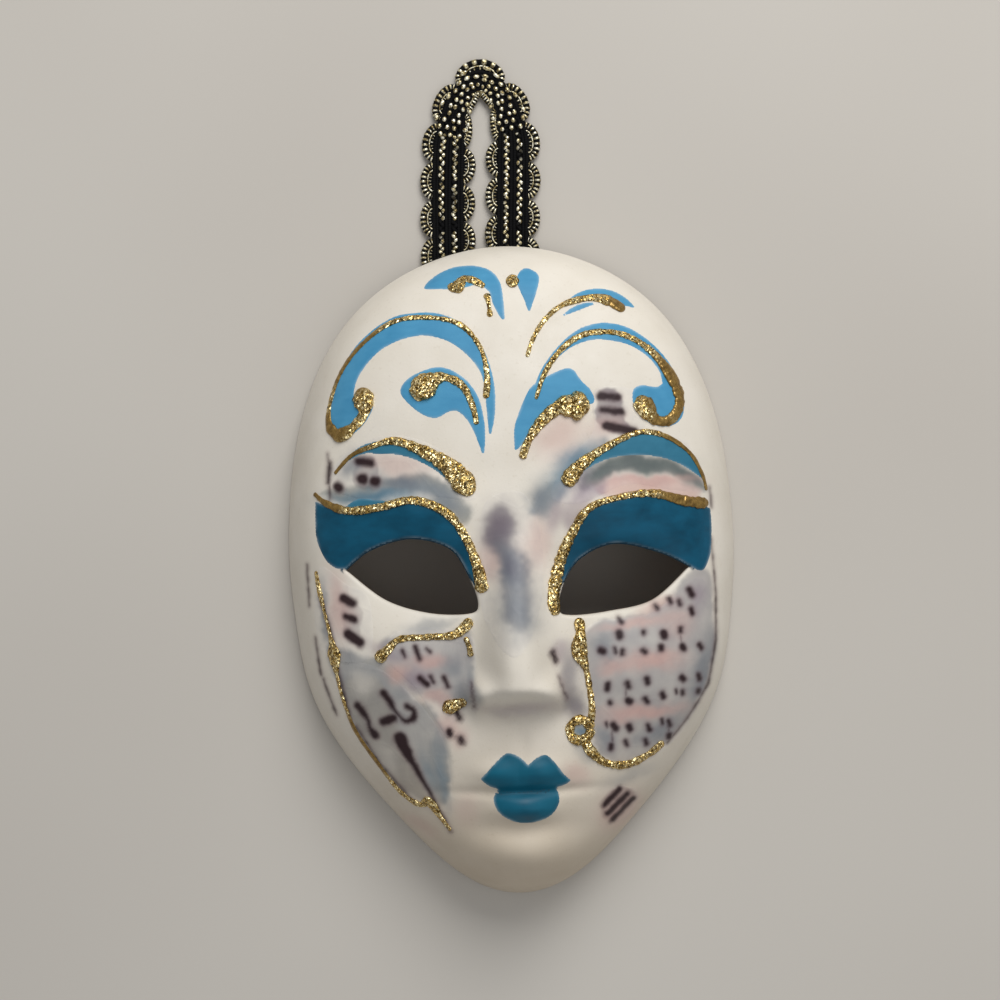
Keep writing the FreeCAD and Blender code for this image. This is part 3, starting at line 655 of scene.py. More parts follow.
# ---- the shell ----
OUTER_STEP = 0.62
INNER_STEP = 1.7
EYE_ROUND = 0.8          # radius of the rounded edge of each eye opening
RIM_ROUND = 0.4
INSIDE = np.array(linear(176, 142, 104))
FLAT_INSET = 12.0        # beyond this distance from the rim the rings shrink evenly
EYE_LOOPS = [smooth_curve(points, 0.45, closed=True) for points in EYES]


def ring_insets(step, steepness):
    """Distances in from the rim that give rings one step apart along the sloping wall."""
    insets = [0.0]
    while insets[-1] < FLAT_INSET:
        slope = steepness * math.exp(-insets[-1] / SIDE_SPREAD) + 0.4
        insets.append(insets[-1] + step / math.hypot(1.0, slope))
    return insets


def rings(step, start):
    """Rings of points from the rim to the middle; start gives the first ring's inset at each angle."""
    made = []
    steepness = SIDE_RISE / SIDE_SPREAD
    for inset in ring_insets(step, steepness):
        count = int(2 * math.pi * (64 - inset) / step)
        angle = (np.arange(count) + 0.5 * (len(made) % 2)) * 2 * math.pi / count
        share = max(0.0, 1 - inset / FLAT_INSET)
        radius = rim_radius(angle) - inset - start(angle) * share
        made.append(np.stack([radius * np.sin(angle), radius * np.cos(angle)], 1))
    shrink = 1.0
    while shrink > 0.02:
        shrink -= step / 52
        count = max(6, int(2 * math.pi * 52 * max(shrink, 0.02) / step))
        angle = (np.arange(count) + 0.5 * (len(made) % 2)) * 2 * math.pi / count
        radius = (rim_radius(angle) - FLAT_INSET) * max(shrink, 0.01)
        made.append(np.stack([radius * np.sin(angle), radius * np.cos(angle)], 1))
    return made


def grow(loop, distance):
    """A closed loop moved outwards."""
    along = np.roll(loop, -1, 0) - np.roll(loop, 1, 0)
    along /= np.linalg.norm(along, axis=1)[:, None]
    area = np.sum(loop[:, 0] * np.roll(loop[:, 1], -1) - np.roll(loop[:, 0], -1) * loop[:, 1])
    normal = np.stack([along[:, 1], -along[:, 0]], 1) * np.sign(area)
    return loop + normal * distance


def eye_rounding(x, y):
    """How far the surface drops where it turns over into the eye openings."""
    drop = np.zeros(len(x))
    for loop in EYE_LOOPS:
        near = np.nonzero((np.abs(x - loop[:, 0].mean()) < 20) & (np.abs(y - loop[:, 1].mean()) < 14))[0]
        away = np.minimum(distance_to(x[near], y[near], loop), EYE_ROUND)
        inside = inside_polygon(x[near], y[near], loop)
        away = np.where(inside, 0.0, away)
        drop[near] += EYE_ROUND - np.sqrt(EYE_ROUND ** 2 - (EYE_ROUND - away) ** 2)
    return drop


def surface(x, y):
    """The finished outer surface: the drawing's, with rounded eye edges and slight hand-cast unevenness."""
    here = np.stack([x, y], 1)
    uneven = 0.10 * noise(here, 13, 5) + 0.05 * noise(here, 5, 6)
    edge = smooth_step(face_height(x, y) / 6.0)
    return face_height(x, y) - eye_rounding(x, y) + (uneven - 0.12) * edge


def layer(step, start, height_function, offsets):
    """One side of the shell: its flat points, triangles, heights, and the indices of its edges."""
    made = rings(step, start)
    points, loops = [], []
    for ring in made:
        near_eye = np.zeros(len(ring), bool)
        for loop in EYE_LOOPS:
            near_eye |= inside_polygon(ring[:, 0], ring[:, 1], grow(loop, offsets[-1] + step * 0.45))
        points.append(ring[~near_eye])
    loops.append(list(range(len(made[0]))))
    total = sum(len(p) for p in points)
    for loop in EYE_LOOPS:
        for offset in offsets:
            loops.append(list(range(total, total + len(loop))))
            points.append(grow(loop, offset))
            total += len(loop)
    flat = np.concatenate(points)
    flat, triangles = triangulate(flat, loops, EYE_LOOPS)
    heights = height_function(flat[:, 0], flat[:, 1])
    edges = [loops[0], loops[1], loops[1 + len(offsets)]]
    return flat, triangles, heights, edges


def rim_start(extra, height_function):
    """Inset at which a side of the shell meets its rim, at each angle."""
    def start(angle):
        target = rim_height(rim_radius(angle) * np.cos(angle)) + extra
        low, high = np.zeros(len(angle)), np.full(len(angle), 9.0)
        for _ in range(24):
            middle = (low + high) / 2
            radius = rim_radius(angle) - middle
            reached = height_function(radius * np.sin(angle), radius * np.cos(angle)) < target
            low, high = np.where(reached, middle, low), np.where(reached, high, middle)
        return (low + high) / 2
    return start


def stitch(first, second):
    """Quads or triangles between two loops of indices that run the same way."""
    faces = []
    a, b = len(first), len(second)
    i = j = 0
    while i < a or j < b:
        if j * a < i * b:
            faces.append((first[i % a], second[(j + 1) % b], second[j % b]))
            j += 1
        else:
            faces.append((first[i % a], first[(i + 1) % a], second[j % b]))
            i += 1
    return faces


def build_shell(material):
    outer_flat, outer_faces, outer_z, outer_edges = layer(
        OUTER_STEP, rim_start(RIM_ROUND, face_height), surface, (0.0, 0.12, 0.32, 0.6, 1.0))
    inner_flat, inner_faces, inner_z, inner_edges = layer(
        INNER_STEP, rim_start(RIM_ROUND, inner_height), inner_height, (0.0, 0.8))
    outer = np.column_stack([outer_flat, outer_z])
    inner = np.column_stack([inner_flat, inner_z])
    vertices = [outer, inner]
    offset = len(outer)
    inner_loops = [[offset + k for k in edge] for edge in inner_edges]
    faces = [tuple(t) for t in outer_faces] + [tuple(offset + k for k in t[::-1]) for t in inner_faces]
    # the flat rim, with both of its edges rounded
    total = offset + len(inner)
    previous = outer_edges[0]
    outer_rim, inner_rim = outer[outer_edges[0]], inner[inner_edges[0]]
    for rim, inset, lift in ((outer_rim, 0.12, 0.14), (outer_rim, 0.4, 0.0), (inner_rim, -0.4, 0.0),
                             (inner_rim, -0.12, 0.14)):
        away = np.hypot(rim[:, 0], rim[:, 1])
        pulled = rim[:, :2] * (1 - inset / away)[:, None]
        loop = np.column_stack([pulled, rim_height(pulled[:, 1]) + lift])
        vertices.append(loop)
        current = list(range(total, total + len(loop)))
        faces += stitch(current, previous)
        previous = current
        total += len(loop)
    faces += stitch(inner_loops[0], previous)
    for outer_eye, inner_eye in zip(outer_edges[1:], inner_loops[1:]):
        faces += stitch(outer_eye, inner_eye)
    vertices = np.concatenate(vertices)
    piece = make_mesh("mask_shell_cast", vertices, faces, material)
    colours = np.repeat(INSIDE[None], len(vertices), 0)
    x, y = outer[:, 0], outer[:, 1]
    colours[:len(outer)] = print_and_painted_light_colour(x, y)
    colours[offset + len(inner):] = WHITE
    at_eye = np.minimum(*(distance_to(x, y, loop) for loop in EYE_LOOPS)) < EYE_ROUND + 0.4
    for kind, outline in PAINT.values():
        edge = smooth_curve(outline, 0.6, closed=True)
        under = inside_polygon(x, y, edge) & (distance_to(x, y, edge) > OUTER_STEP)
        if kind == "lid":
            under |= at_eye & inside_polygon(x, y, grow(edge, 0.35))
        colours[:len(outer)][under] = BLUES[kind][1]
    set_colours(piece, "tint", colours)
    fix_normals(piece)
    return piece


def fix_normals(piece):
    """Makes every face point outwards."""
    work = bmesh.new()
    work.from_mesh(piece.data)
    bmesh.ops.recalc_face_normals(work, faces=work.faces)
    work.to_mesh(piece.data)
    work.free()


# ---- thin coats on the face: tissue and paint ----

def coat(name, outline, step, thickness, material, edge=0.3):
    """A thin layer inside a closed outline, rounded off at its edge and sealed against the face."""
    boundary = smooth_curve(outline, step * 0.6, closed=True)
    low, high = boundary.min(0), boundary.max(0)
    columns, rows = (int((high[k] - low[k]) / step) + 1 for k in (0, 1))
    xs = low[0] + np.arange(columns) * step
    grid = np.array([(x + 0.5 * step * (j % 2), low[1] + j * step) for j in range(rows) for x in xs])
    inside = inside_polygon(grid[:, 0], grid[:, 1], boundary)
    grid = grid[inside]
    grid = grid[distance_to(grid[:, 0], grid[:, 1], boundary) > step * 0.5]
    flat, triangles = triangulate(np.concatenate([boundary, grid]), [list(range(len(boundary)))])
    x, y = flat[:, 0], flat[:, 1]
    away = distance_to(x, y, boundary)
    lift = thickness * np.sqrt(np.clip(away / edge, 0, 1)) - 0.03
    piece = make_mesh(name, np.column_stack([x, y, surface(x, y) + lift]), triangles, material)
    return piece, x, y, away


TISSUES = {
    "tissue_temple_left": [(-45.5, 3), (-47.5, -8), (-45, -19), (-34, -18.5), (-33.5, -5), (-39, -1)],
    "tissue_cheek_left": [(-43.5, -20.5), (-38.5, -36), (-30, -48), (-18, -58), (-15.5, -52), (-17, -38),
        (-24, -27), (-33, -20)],
    "tissue_cheek_inner_left": [(-31, -17.5), (-27, -12), (-17, -11.5), (-9.5, -14), (-9.5, -24),
        (-14, -33), (-16.8, -36.5), (-23.5, -25.5)],
    "tissue_cheek_right": [(44, -2), (48, -14), (44.5, -31), (36, -42.5), (24, -46), (14.5, -39),
        (16, -29), (14, -18), (18, -11.5), (32, -9.5)],
    "tissue_brow_left": [(-43, 22), (-38, 30), (-27, 33.5), (-15, 29), (-8, 18), (-18, 18.5), (-32, 18)],
    "tissue_brow_right": [(9, 18), (14, 27), (19.5, 33), (20.5, 42.5), (30, 42), (32, 34), (42, 30),
        (47, 18.5), (38, 18.5), (27, 20), (16, 16)],
    "tissue_nose_bridge": [(-6, 17), (3, 19), (7, 8), (6, -8), (0, -18), (-7, -10), (-7.5, 4)],
    "tissue_chin": [(19.5, -56.5), (22.5, -50.5), (28.5, -53), (25.5, -60.5)],
}
TISSUE_STEP = 0.32
TISSUE_LIFT = 0.06


def build_tissues(material):
    for node, outline in TISSUES.items():
        piece, x, y, _ = coat(node + "_sheet", outline, TISSUE_STEP, TISSUE_LIFT, material)
        set_colours(piece, "tint", print_and_painted_light_colour(x, y))
        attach(piece, "mask")
        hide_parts(node)


# Each painted shape: the kind of blue, then its closed outline; a point given twice is a corner.
PAINT = {
    "paint_crown_left": ("sky", [(-19, 68.2), (-17, 71), (-13, 73.2), (-9, 73.8), (-5.5, 73.2),
        (-2.6, 71.6), (-0.8, 68.6), (-0.2, 64), (0, 59), (0, 59), (-1.4, 60.4), (-2.8, 63.4), (-3.8, 66.6),
        (-6.4, 68.2), (-10, 67.6), (-14.5, 67.6)]),
    "paint_crown_drop": ("sky", [(3.3, 70.8), (5, 72.4), (7, 71.8), (8.4, 70), (7.6, 66), (5.6, 60.6),
        (5.6, 60.6), (4.4, 64.6), (3.1, 68)]),
    "paint_scroll_small_right": ("sky", [(14, 63.2), (14, 63.2), (17, 65.7), (21, 67), (25.5, 66.8),
        (29, 65), (31.4, 62.2), (31.4, 62.2), (27.8, 62.8), (24, 64.4), (19, 64.6)]),
    "paint_scroll_small_right_under": ("sky", [(12.6, 59.6), (12.6, 59.6), (15.4, 62), (19, 63.4),
        (22.6, 63.4), (22.6, 63.4), (18.4, 61.8)]),
    "paint_scroll_large_left": ("sky", [(-4.5, 31), (-4.5, 31), (-3.1, 36.5), (-2.8, 43), (-4, 49.5),
        (-6.4, 55), (-10.5, 59.4), (-16, 61.8), (-21, 62.2), (-26, 61.6), (-31, 59), (-36, 54.6),
        (-39.8, 48.4), (-42, 41.5), (-42.6, 36), (-41, 33.4), (-37.4, 33.4), (-33.8, 36), (-31.4, 40),
        (-32.2, 43.6), (-32.2, 43.6), (-35.8, 42.6), (-35.2, 46.5), (-32.5, 50.6), (-28.8, 53.8),
        (-24, 55.8), (-19, 56.4), (-14, 55), (-9.8, 52), (-6.6, 48), (-5.4, 44), (-5, 38)]),
    "paint_scroll_inner_left": ("sky", [(-25, 43.2), (-23.6, 46), (-20.5, 47.8), (-16, 48.9), (-12, 47.6),
        (-8.6, 44.6), (-6.4, 40.5), (-5.4, 35), (-5.5, 30), (-6, 27), (-6, 27), (-7.2, 31), (-9, 35.2),
        (-11.3, 38), (-13.6, 38.2), (-16.3, 36.9), (-19, 37.3), (-22.5, 39.8)]),
    "paint_scroll_large_right": ("sky", [(6, 43), (6, 43), (8, 47.6), (11.8, 52.6), (16.5, 56.6),
        (22, 58.4), (27.5, 57.8), (32.5, 55.2), (37.5, 50.4), (40.6, 45), (41.9, 39.5), (40.9, 35.4),
        (38, 33.6), (34.4, 33.8), (31, 35.8), (29, 39.4), (29.4, 42.4), (31.5, 43.4), (35, 43),
        (36.5, 43.8), (36.5, 43.8), (35.8, 46.6), (33.5, 49.8), (29.5, 52.6), (25, 53.9), (20.5, 54.2),
        (15.8, 52.8), (12, 50), (9.4, 46.4), (7.6, 42)]),
    "paint_scroll_inner_right": ("sky", [(1.2, 28.5), (1.2, 28.5), (1.2, 33.5), (2.6, 38), (5.4, 43.4),
        (9.5, 46), (13.4, 47.6), (15.6, 47.2), (17.2, 44.8), (19.4, 42.4), (20.2, 39.6), (17, 38.6),
        (11, 38.2), (6, 34.5), (3, 30)]),
    "paint_brow_left": ("brow", [(-39, 27), (-39, 27), (-36, 30.4), (-32, 32), (-28, 31.9), (-22, 30),
        (-16.5, 27.2), (-12.5, 23.5), (-10.4, 19.6), (-10.4, 19.6), (-13, 20.8), (-17, 24.4), (-21.5, 27),
        (-26, 28.5), (-30, 28.8), (-34, 29)]),
    "paint_brow_right": ("brow", [(11.6, 19.6), (11.6, 19.6), (15, 25), (19, 28.2), (24, 30.6), (29, 32.4),
        (34, 32.6), (39, 30.8), (43.5, 26.8), (46.4, 20), (46.4, 20), (43.2, 22.6), (38.5, 25.2),
        (33, 26.6), (27.5, 26.8), (22, 25.8), (16.4, 23)]),
    "paint_lid_left": ("lid", [(-46.3, 18.6), (-46.3, 18.6), (-43.5, 17.4), (-38, 15.8), (-30.5, 16.4),
        (-22.5, 17.8), (-15, 14.8), (-10.8, 9), (-8.6, 2), (-8, -3), (-8, -3), (-9.8, -0.2), (-14.4, 6.7),
        (-23.5, 9.2), (-33, 6.7), (-38.9, 2.4), (-38.9, 2.4), (-41.6, 2.6), (-44.4, 5.2), (-46.3, 10.5)]),
    "paint_lid_left_over": ("brow", [(-39.5, 16.4), (-39.5, 16.4), (-35.5, 18.8), (-30.5, 18.4),
        (-26, 17.5), (-26, 17.5), (-32, 16.8)]),
    "paint_lid_right": ("lid", [(47.5, 14.2), (47.5, 14.2), (41, 15.8), (33, 17.8), (25, 17.1), (18, 14.8),
        (14, 9.2), (11.2, 3), (10.2, -2.6), (10.2, -2.6), (11.6, -1.8), (15.9, 3.7), (24, 6.7),
        (34.5, 4.2), (41.3, 0.8), (41.3, 0.8), (44.8, -0.6), (47, 3), (47.6, 9)]),
    "paint_lips": ("lip", [(-9, -46.8), (-9, -46.8), (-6.8, -44.5), (-4.7, -42.3), (-2.5, -40.8),
        (0.2, -41.7), (2.2, -43.6), (2.2, -43.6), (4.2, -42.1), (6.4, -41.5), (8.5, -43.4), (10.3, -46),
        (12.2, -48), (12.2, -48), (10.6, -49), (8.9, -49.7), (9.2, -51.2), (9.2, -53.2), (7.8, -55.6),
        (5.2, -57.2), (1.5, -57.9), (-2, -57.1), (-4.8, -55), (-6, -52.4), (-5.6, -50.2), (-5.1, -49.5),
        (-7.2, -48.4)]),
}
BLUES = {
    "sky": (linear(80, 152, 190), linear(60, 132, 172), 0.5),
    "brow": (linear(56, 120, 146), linear(42, 102, 126), 0.46),
    # The lid blue is darker partly for the lids' deeper pigment and partly as painted shade, since the lids
    # face away from the light.
    "lid": (linear(6, 84, 112), linear(2, 60, 82), 0.46),
    "lip": (linear(16, 98, 122), linear(8, 76, 98), 0.44),
}
PAINT_STEP = 0.42
PAINT_LIFT = 0.13
THIN_EDGE = 0.8          # paint thins out over this distance from its edge


def build_paint():
    looks = {kind: paint_material("paint_" + kind, *colours) for kind, colours in BLUES.items()}
    for name, (kind, outline) in PAINT.items():
        piece, x, y, away = coat(name, outline, PAINT_STEP, PAINT_LIFT, looks[kind], edge=0.2)
        here = np.stack([x, y], 1)
        patchy = np.clip(0.5 + 0.5 * noise(here, 2.2, 11), 0, 1)
        thin = np.clip(1 - away / THIN_EDGE, 0, 1) ** 2 * patchy * 0.5
        set_values(piece, "thin", thin)
        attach(piece, "mask")


# ---- gold relief: x, y, width of the bead at each point ----
RELIEF_BASE = 0.25
RELIEF_SLOPE = 0.26
RELIEF_LINES = {
    "relief_crown_curl": [(-13.4, 68.6, 1.8), (-11.2, 68.1, 3.2), (-9.3, 70.1, 2.2), (-6.5, 69.2, 1.8),
        (-4.6, 67.8, 1.3)],
    "relief_crown_drop": [(-4.2, 66.2, 1.8), (-3.7, 63.2, 1), (-3.5, 60.3, 1.7)],
    "relief_crown_dot": [(0.4, 69.2, 2.6), (2, 69.1, 3.4), (3.6, 69, 2.6)],
    "relief_scroll_small_right": [(4.8, 50.5, 0.9), (6.2, 54.5, 1.1), (9, 59, 1.2), (13.5, 62.8, 1.3),
        (20, 64.6, 1.8), (24.5, 64, 2.9), (28.5, 61.6, 2.2)],
    "relief_scroll_large_left": [(-5, 41, 1.8), (-4.6, 46.5, 1.4), (-6, 53, 1.2), (-10.5, 58.7, 1.3),
        (-18, 60.8, 1.2), (-26.5, 60.2, 1.2), (-34, 55.3, 1.2), (-39.2, 49, 1), (-42.1, 41.5, 1.1),
        (-42.3, 36.4, 2), (-39.8, 33.9, 3.2), (-36.4, 35.6, 2.2), (-33.8, 38.6, 2.8), (-33.8, 42, 5.6),
        (-34.4, 44.8, 3.6)],
    "relief_scroll_inner_left": [(-21, 41, 3.4), (-19.4, 44.2, 6.8), (-15, 46.4, 2.4), (-10.5, 44.3, 1.8),
        (-8.2, 39.5, 1.5), (-7.3, 35, 1.3)],
    "relief_scroll_large_right": [(6.5, 40.5, 0.9), (9, 47, 1.2), (13.3, 52.5, 1.4), (19, 55.8, 1.5),
        (26.5, 55.8, 1.4), (33.2, 52.4, 1.8), (38.3, 46.4, 2.6), (40.7, 40, 2.8), (38.4, 35.4, 2.4),
        (34.6, 35.2, 2.8), (31.8, 38.8, 5.4), (31, 41, 4.2)],
    "relief_scroll_inner_right": [(2.9, 26.8, 2), (4.4, 30.8, 1.8), (7.5, 35.2, 2.8), (11.6, 38.4, 3.8),
        (16, 38.8, 6.8), (19, 38.4, 5)],
    "relief_brow_left": [(-41.2, 24.8, 0.8), (-37, 28.9, 1), (-31.5, 31, 1.4), (-26.5, 31.9, 1.8),
        (-20.5, 29.6, 2.6), (-14.6, 26, 4), (-10.8, 21.8, 5.4), (-9, 18.8, 4.4)],
    "relief_brow_right": [(12.6, 20.5, 4.4), (16.2, 24.8, 3), (22.5, 29, 1.8), (30.5, 32.3, 1.4),
        (37, 31.2, 1.2), (42.6, 27.3, 1), (45.6, 22.2, 0.9), (46.6, 18.3, 0.8)],
    "relief_lid_left": [(-46.6, 20.4, 0.9), (-43.5, 17.9, 1.6), (-38, 16, 2), (-30.5, 16.6, 2),
        (-22.5, 18, 2), (-15, 15, 2), (-10.6, 9, 2), (-8, 1.8, 2.6), (-7.2, -3.8, 3.6)],
    "relief_lid_right": [(47, 15.2, 2.6), (41, 16, 2.6), (33, 18, 2), (25, 17.3, 1.6), (18, 15, 1.8),
        (13.9, 9.3, 2.2), (10.9, 2.6, 2.8), (9.2, -5.2, 3), (9.8, -9.4, 2.2)],
    "relief_cheek_left": [(-32.2, -19, 3.2), (-29.5, -16.4, 2.2), (-26.5, -14, 1.6), (-20, -13.6, 1.4),
        (-13.8, -13.2, 2), (-9.8, -9.8, 2.8)],
    "relief_cheek_left_twig": [(-11.4, -13.8, 1.6), (-10.6, -16, 1.3), (-10.2, -18.4, 1.6)],
    "relief_nostril_left": [(-17.2, -30.8, 2.2), (-15, -29.8, 3.6), (-11.5, -28.6, 1.4)],
    "relief_side_left": [(-46.6, 2, 0.8), (-45.8, -3, 1.3), (-44.4, -9, 0.8), (-43.2, -14.4, 1.3),
        (-42.6, -17.8, 3.2), (-42.2, -22, 1.2), (-41, -28, 0.9), (-38.4, -36, 1), (-33.6, -43.6, 1),
        (-28.4, -50.8, 1.2), (-23.8, -53.8, 1.5), (-21.2, -53, 2.4), (-18.6, -56.8, 1.2),
        (-16.4, -60, 0.9)],
    "relief_cheek_right": [(14.8, -10.2, 3), (15.2, -13.6, 2.2), (14.8, -17.8, 4), (16.2, -22, 1.6),
        (17, -27, 1.4), (17.4, -31.6, 1.6), (17, -34.8, 1.8)],
    "relief_cheek_right_tail": [(15.6, -38.8, 2.6), (16.8, -41.2, 2.4), (20.2, -44.4, 2), (25.4, -45.4, 2),
        (31, -43.4, 1.8), (34.6, -40.8, 2)],
}
RING_CENTRE = (14.5, -36.3)
RING_RADIUS = 2.4
RING_WIDTH = 2.4
RING_SWEEP = 368.0       # the paste closes the ring
RING_STEPS = 16
BEAD_STEP = 0.16
BEAD_SIDES = 14


def ring_points():
    points = []
    for k in range(RING_STEPS + 1):
        angle = math.radians(RING_SWEEP * k / RING_STEPS)
        points.append((RING_CENTRE[0] + RING_RADIUS * math.cos(angle),
                       RING_CENTRE[1] + RING_RADIUS * math.sin(angle), RING_WIDTH))
    return points


def build_bead(node, points, material, seed):
    """A lumpy bead of glitter paste along a line on the face, closed by rounded ends."""
    route = smooth_curve(points, BEAD_STEP)
    place, width = route[:, :2], route[:, 2]
    along = np.gradient(place, axis=0)
    along /= np.linalg.norm(along, axis=1)[:, None]
    run = np.concatenate([[0], np.cumsum(np.linalg.norm(np.diff(place, axis=0), axis=1))])
    ends = np.minimum(run, run[-1] - run) / (width * 0.5)
    taper = np.sqrt(np.clip(1 - (1 - np.clip(ends, 0, 1)) ** 2, 0.02, 1))
    here = np.column_stack([run, np.full(len(run), seed * 3.1)])
    swell = 1 + 0.14 * noise(here, 1.4, seed) + 0.10 * noise(here, 0.6, seed + 1)
    half = width / 2 * taper * swell
    across = np.stack([-along[:, 1], along[:, 0]], 1)
    angle = np.linspace(0, math.pi, BEAD_SIDES)
    u, v = np.cos(angle), np.sin(angle)
    x = place[:, None, 0] + across[:, None, 0] * half[:, None] * u
    y = place[:, None, 1] + across[:, None, 1] * half[:, None] * u
    top = (RELIEF_BASE + RELIEF_SLOPE * width) * taper * swell
    foot = surface(x.ravel(), y.ravel()).reshape(x.shape)
    z = foot + top[:, None] * v ** 0.8 - 0.06
    points3 = np.stack([x, y, z], 2).reshape(-1, 3)
    lumps = 0.10 * noise(points3, 0.55, seed) + 0.06 * noise(points3, 0.26, seed + 2)
    size = np.clip(np.repeat(width, BEAD_SIDES) / 2.0, 0.45, 1.3)
    points3[:, 2] += lumps * size * 1.3 * np.tile(v, len(run))
    push = (lumps * size * 0.8 * np.tile(v, len(run)))[:, None]
    points3[:, :2] += np.repeat(across, BEAD_SIDES, 0) * push * np.tile(u, len(run))[:, None]
    faces = []
    for k in range(len(run) - 1):
        for j in range(BEAD_SIDES):
            a, b = k * BEAD_SIDES + j, k * BEAD_SIDES + (j + 1) % BEAD_SIDES
            faces.append((a, b, b + BEAD_SIDES, a + BEAD_SIDES))
    faces.append(tuple(range(BEAD_SIDES))[::-1])
    faces.append(tuple((len(run) - 1) * BEAD_SIDES + j for j in range(BEAD_SIDES)))
    piece = make_mesh(node + "_bead", points3, faces, material)
    fix_normals(piece)
    grain = np.ones(len(points3))
    for x0, y0, reach in DULL_ZONES.get(node, ()):
        away = np.hypot(points3[:, 0] - x0, points3[:, 1] - y0) / reach
        grain = np.minimum(grain, smooth_step((away - 0.7) / 0.5))
    set_values(piece, "grain", grain)
    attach(piece, "mask")
    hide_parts(node)


# Where a bead is brushed smooth and dull: x, y, how far it reaches.
DULL_ZONES = {
    "relief_scroll_large_left": [(-36, 52, 9), (-41, 36, 4)],
    "relief_scroll_large_right": [(40, 43, 9), (36, 34, 3)],
    "relief_lid_left": [(-44, 18, 5)],
    "relief_lid_right": [(44, 16, 10)],
    "relief_brow_left": [(-38, 27, 6)],
    "relief_brow_right": [(43, 26, 10)],
    "relief_scroll_small_right": [(27, 62.4, 3)],
    "relief_side_left": [(-36, -40, 9)],
}


def build_relief(material):
    lines = dict(RELIEF_LINES, relief_cheek_right_ring=ring_points())
    for seed, (node, points) in enumerate(lines.items()):
        build_bead(node, points, material, seed)


# ---- the gimp braid ----
HINGE_Y = 81.8
RIBBON_Z = 0.95
RIBBON_WIDTH = 14.0
RIBBON_APEX_WIDTH = 8.6
# Centre line, from the left glued end over the loop to the right glued end.
RIBBON_ROUTE = [(-13.4, 65.5, 12.64), (-13.4, 67.6, 6.9), (-13.4, 69.76, RIBBON_Z), (-13.4, 75.7, RIBBON_Z),
                (-13.4, HINGE_Y, RIBBON_Z), (-13.1, 96.0, RIBBON_Z), (-12.2, 110.5, RIBBON_Z),
                (-7.8, 121.2, RIBBON_Z), (-1.2, 121.4, RIBBON_Z), (3.6, 111.0, RIBBON_Z),
                (3.1, 96.0, RIBBON_Z), (2.5, HINGE_Y, RIBBON_Z), (2.5, 77.5, RIBBON_Z),
                (2.5, 73.16, RIBBON_Z), (2.5, 71.0, 6.9), (2.5, 68.9, 12.64)]
GATHER_Y = 102.0         # the braid starts to gather here
TURN_Y = 108.0           # above this the back of the braid shows
SCALLOP_PITCH = 9.3
SCALLOP_HALF = 3.85      # half the length of a scallop
SCALLOP_REACH = 2.4      # how far its outer cord stands out from the core
SCALLOP_CORD = 0.76
CORE_HALF = 4.0
BRAID_STEP = 0.25
# Where each black cord lies across the braid, and its radius.
CORDS = [(-3.45, 0.62), (-2.65, 0.45), (-0.42, 0.52), (0.42, 0.52), (2.65, 0.45), (3.45, 0.62)]
PURLS = [-1.6, 1.6]      # where the two rows of metal thread lie across the braid
STRIPES = 21.0           # stripes of a scallop's outer cord, in radians per radian of its arc
DOTS = 13.0              # and of the row of dots inside it
GATHER_RUN = 12.0        # the scallops inside the bend shrink over this distance
KNOT_ROW_GAP = 1.75
KNOT_GAP = 2.4
STITCHED = (84.0, 87.2)  # y of the black stitches across the left leg


def route_points(route):
    """Points on one smooth spline that has the route as its control points, in millimetres."""
    curve = bpy.data.curves.new("ribbon_route", "CURVE")
    curve.dimensions = "3D"
    curve.resolution_u = 24
    spline = curve.splines.new("NURBS")
    spline.points.add(len(route) - 1)
    for point, place in zip(spline.points, route):
        point.co = (*(c * MM for c in place), 1.0)
    spline.order_u = 3
    spline.use_endpoint_u = True
    holder = bpy.data.objects.new("ribbon_route", curve)
    mesh = bpy.data.meshes.new_from_object(holder)
    points = np.array([v.co for v in mesh.vertices]) / MM
    bpy.data.objects.remove(holder)
    bpy.data.meshes.remove(mesh)
    return points


def resample(points, step):
    gap = np.linalg.norm(np.diff(points, axis=0), axis=1)
    points = points[np.concatenate([[True], gap > 1e-6])]
    run = np.concatenate([[0], np.cumsum(np.linalg.norm(np.diff(points, axis=0), axis=1))])
    at = np.linspace(0, run[-1], int(run[-1] / step) + 1)
    return at, np.stack([np.interp(at, run, points[:, k]) for k in range(3)], 1)


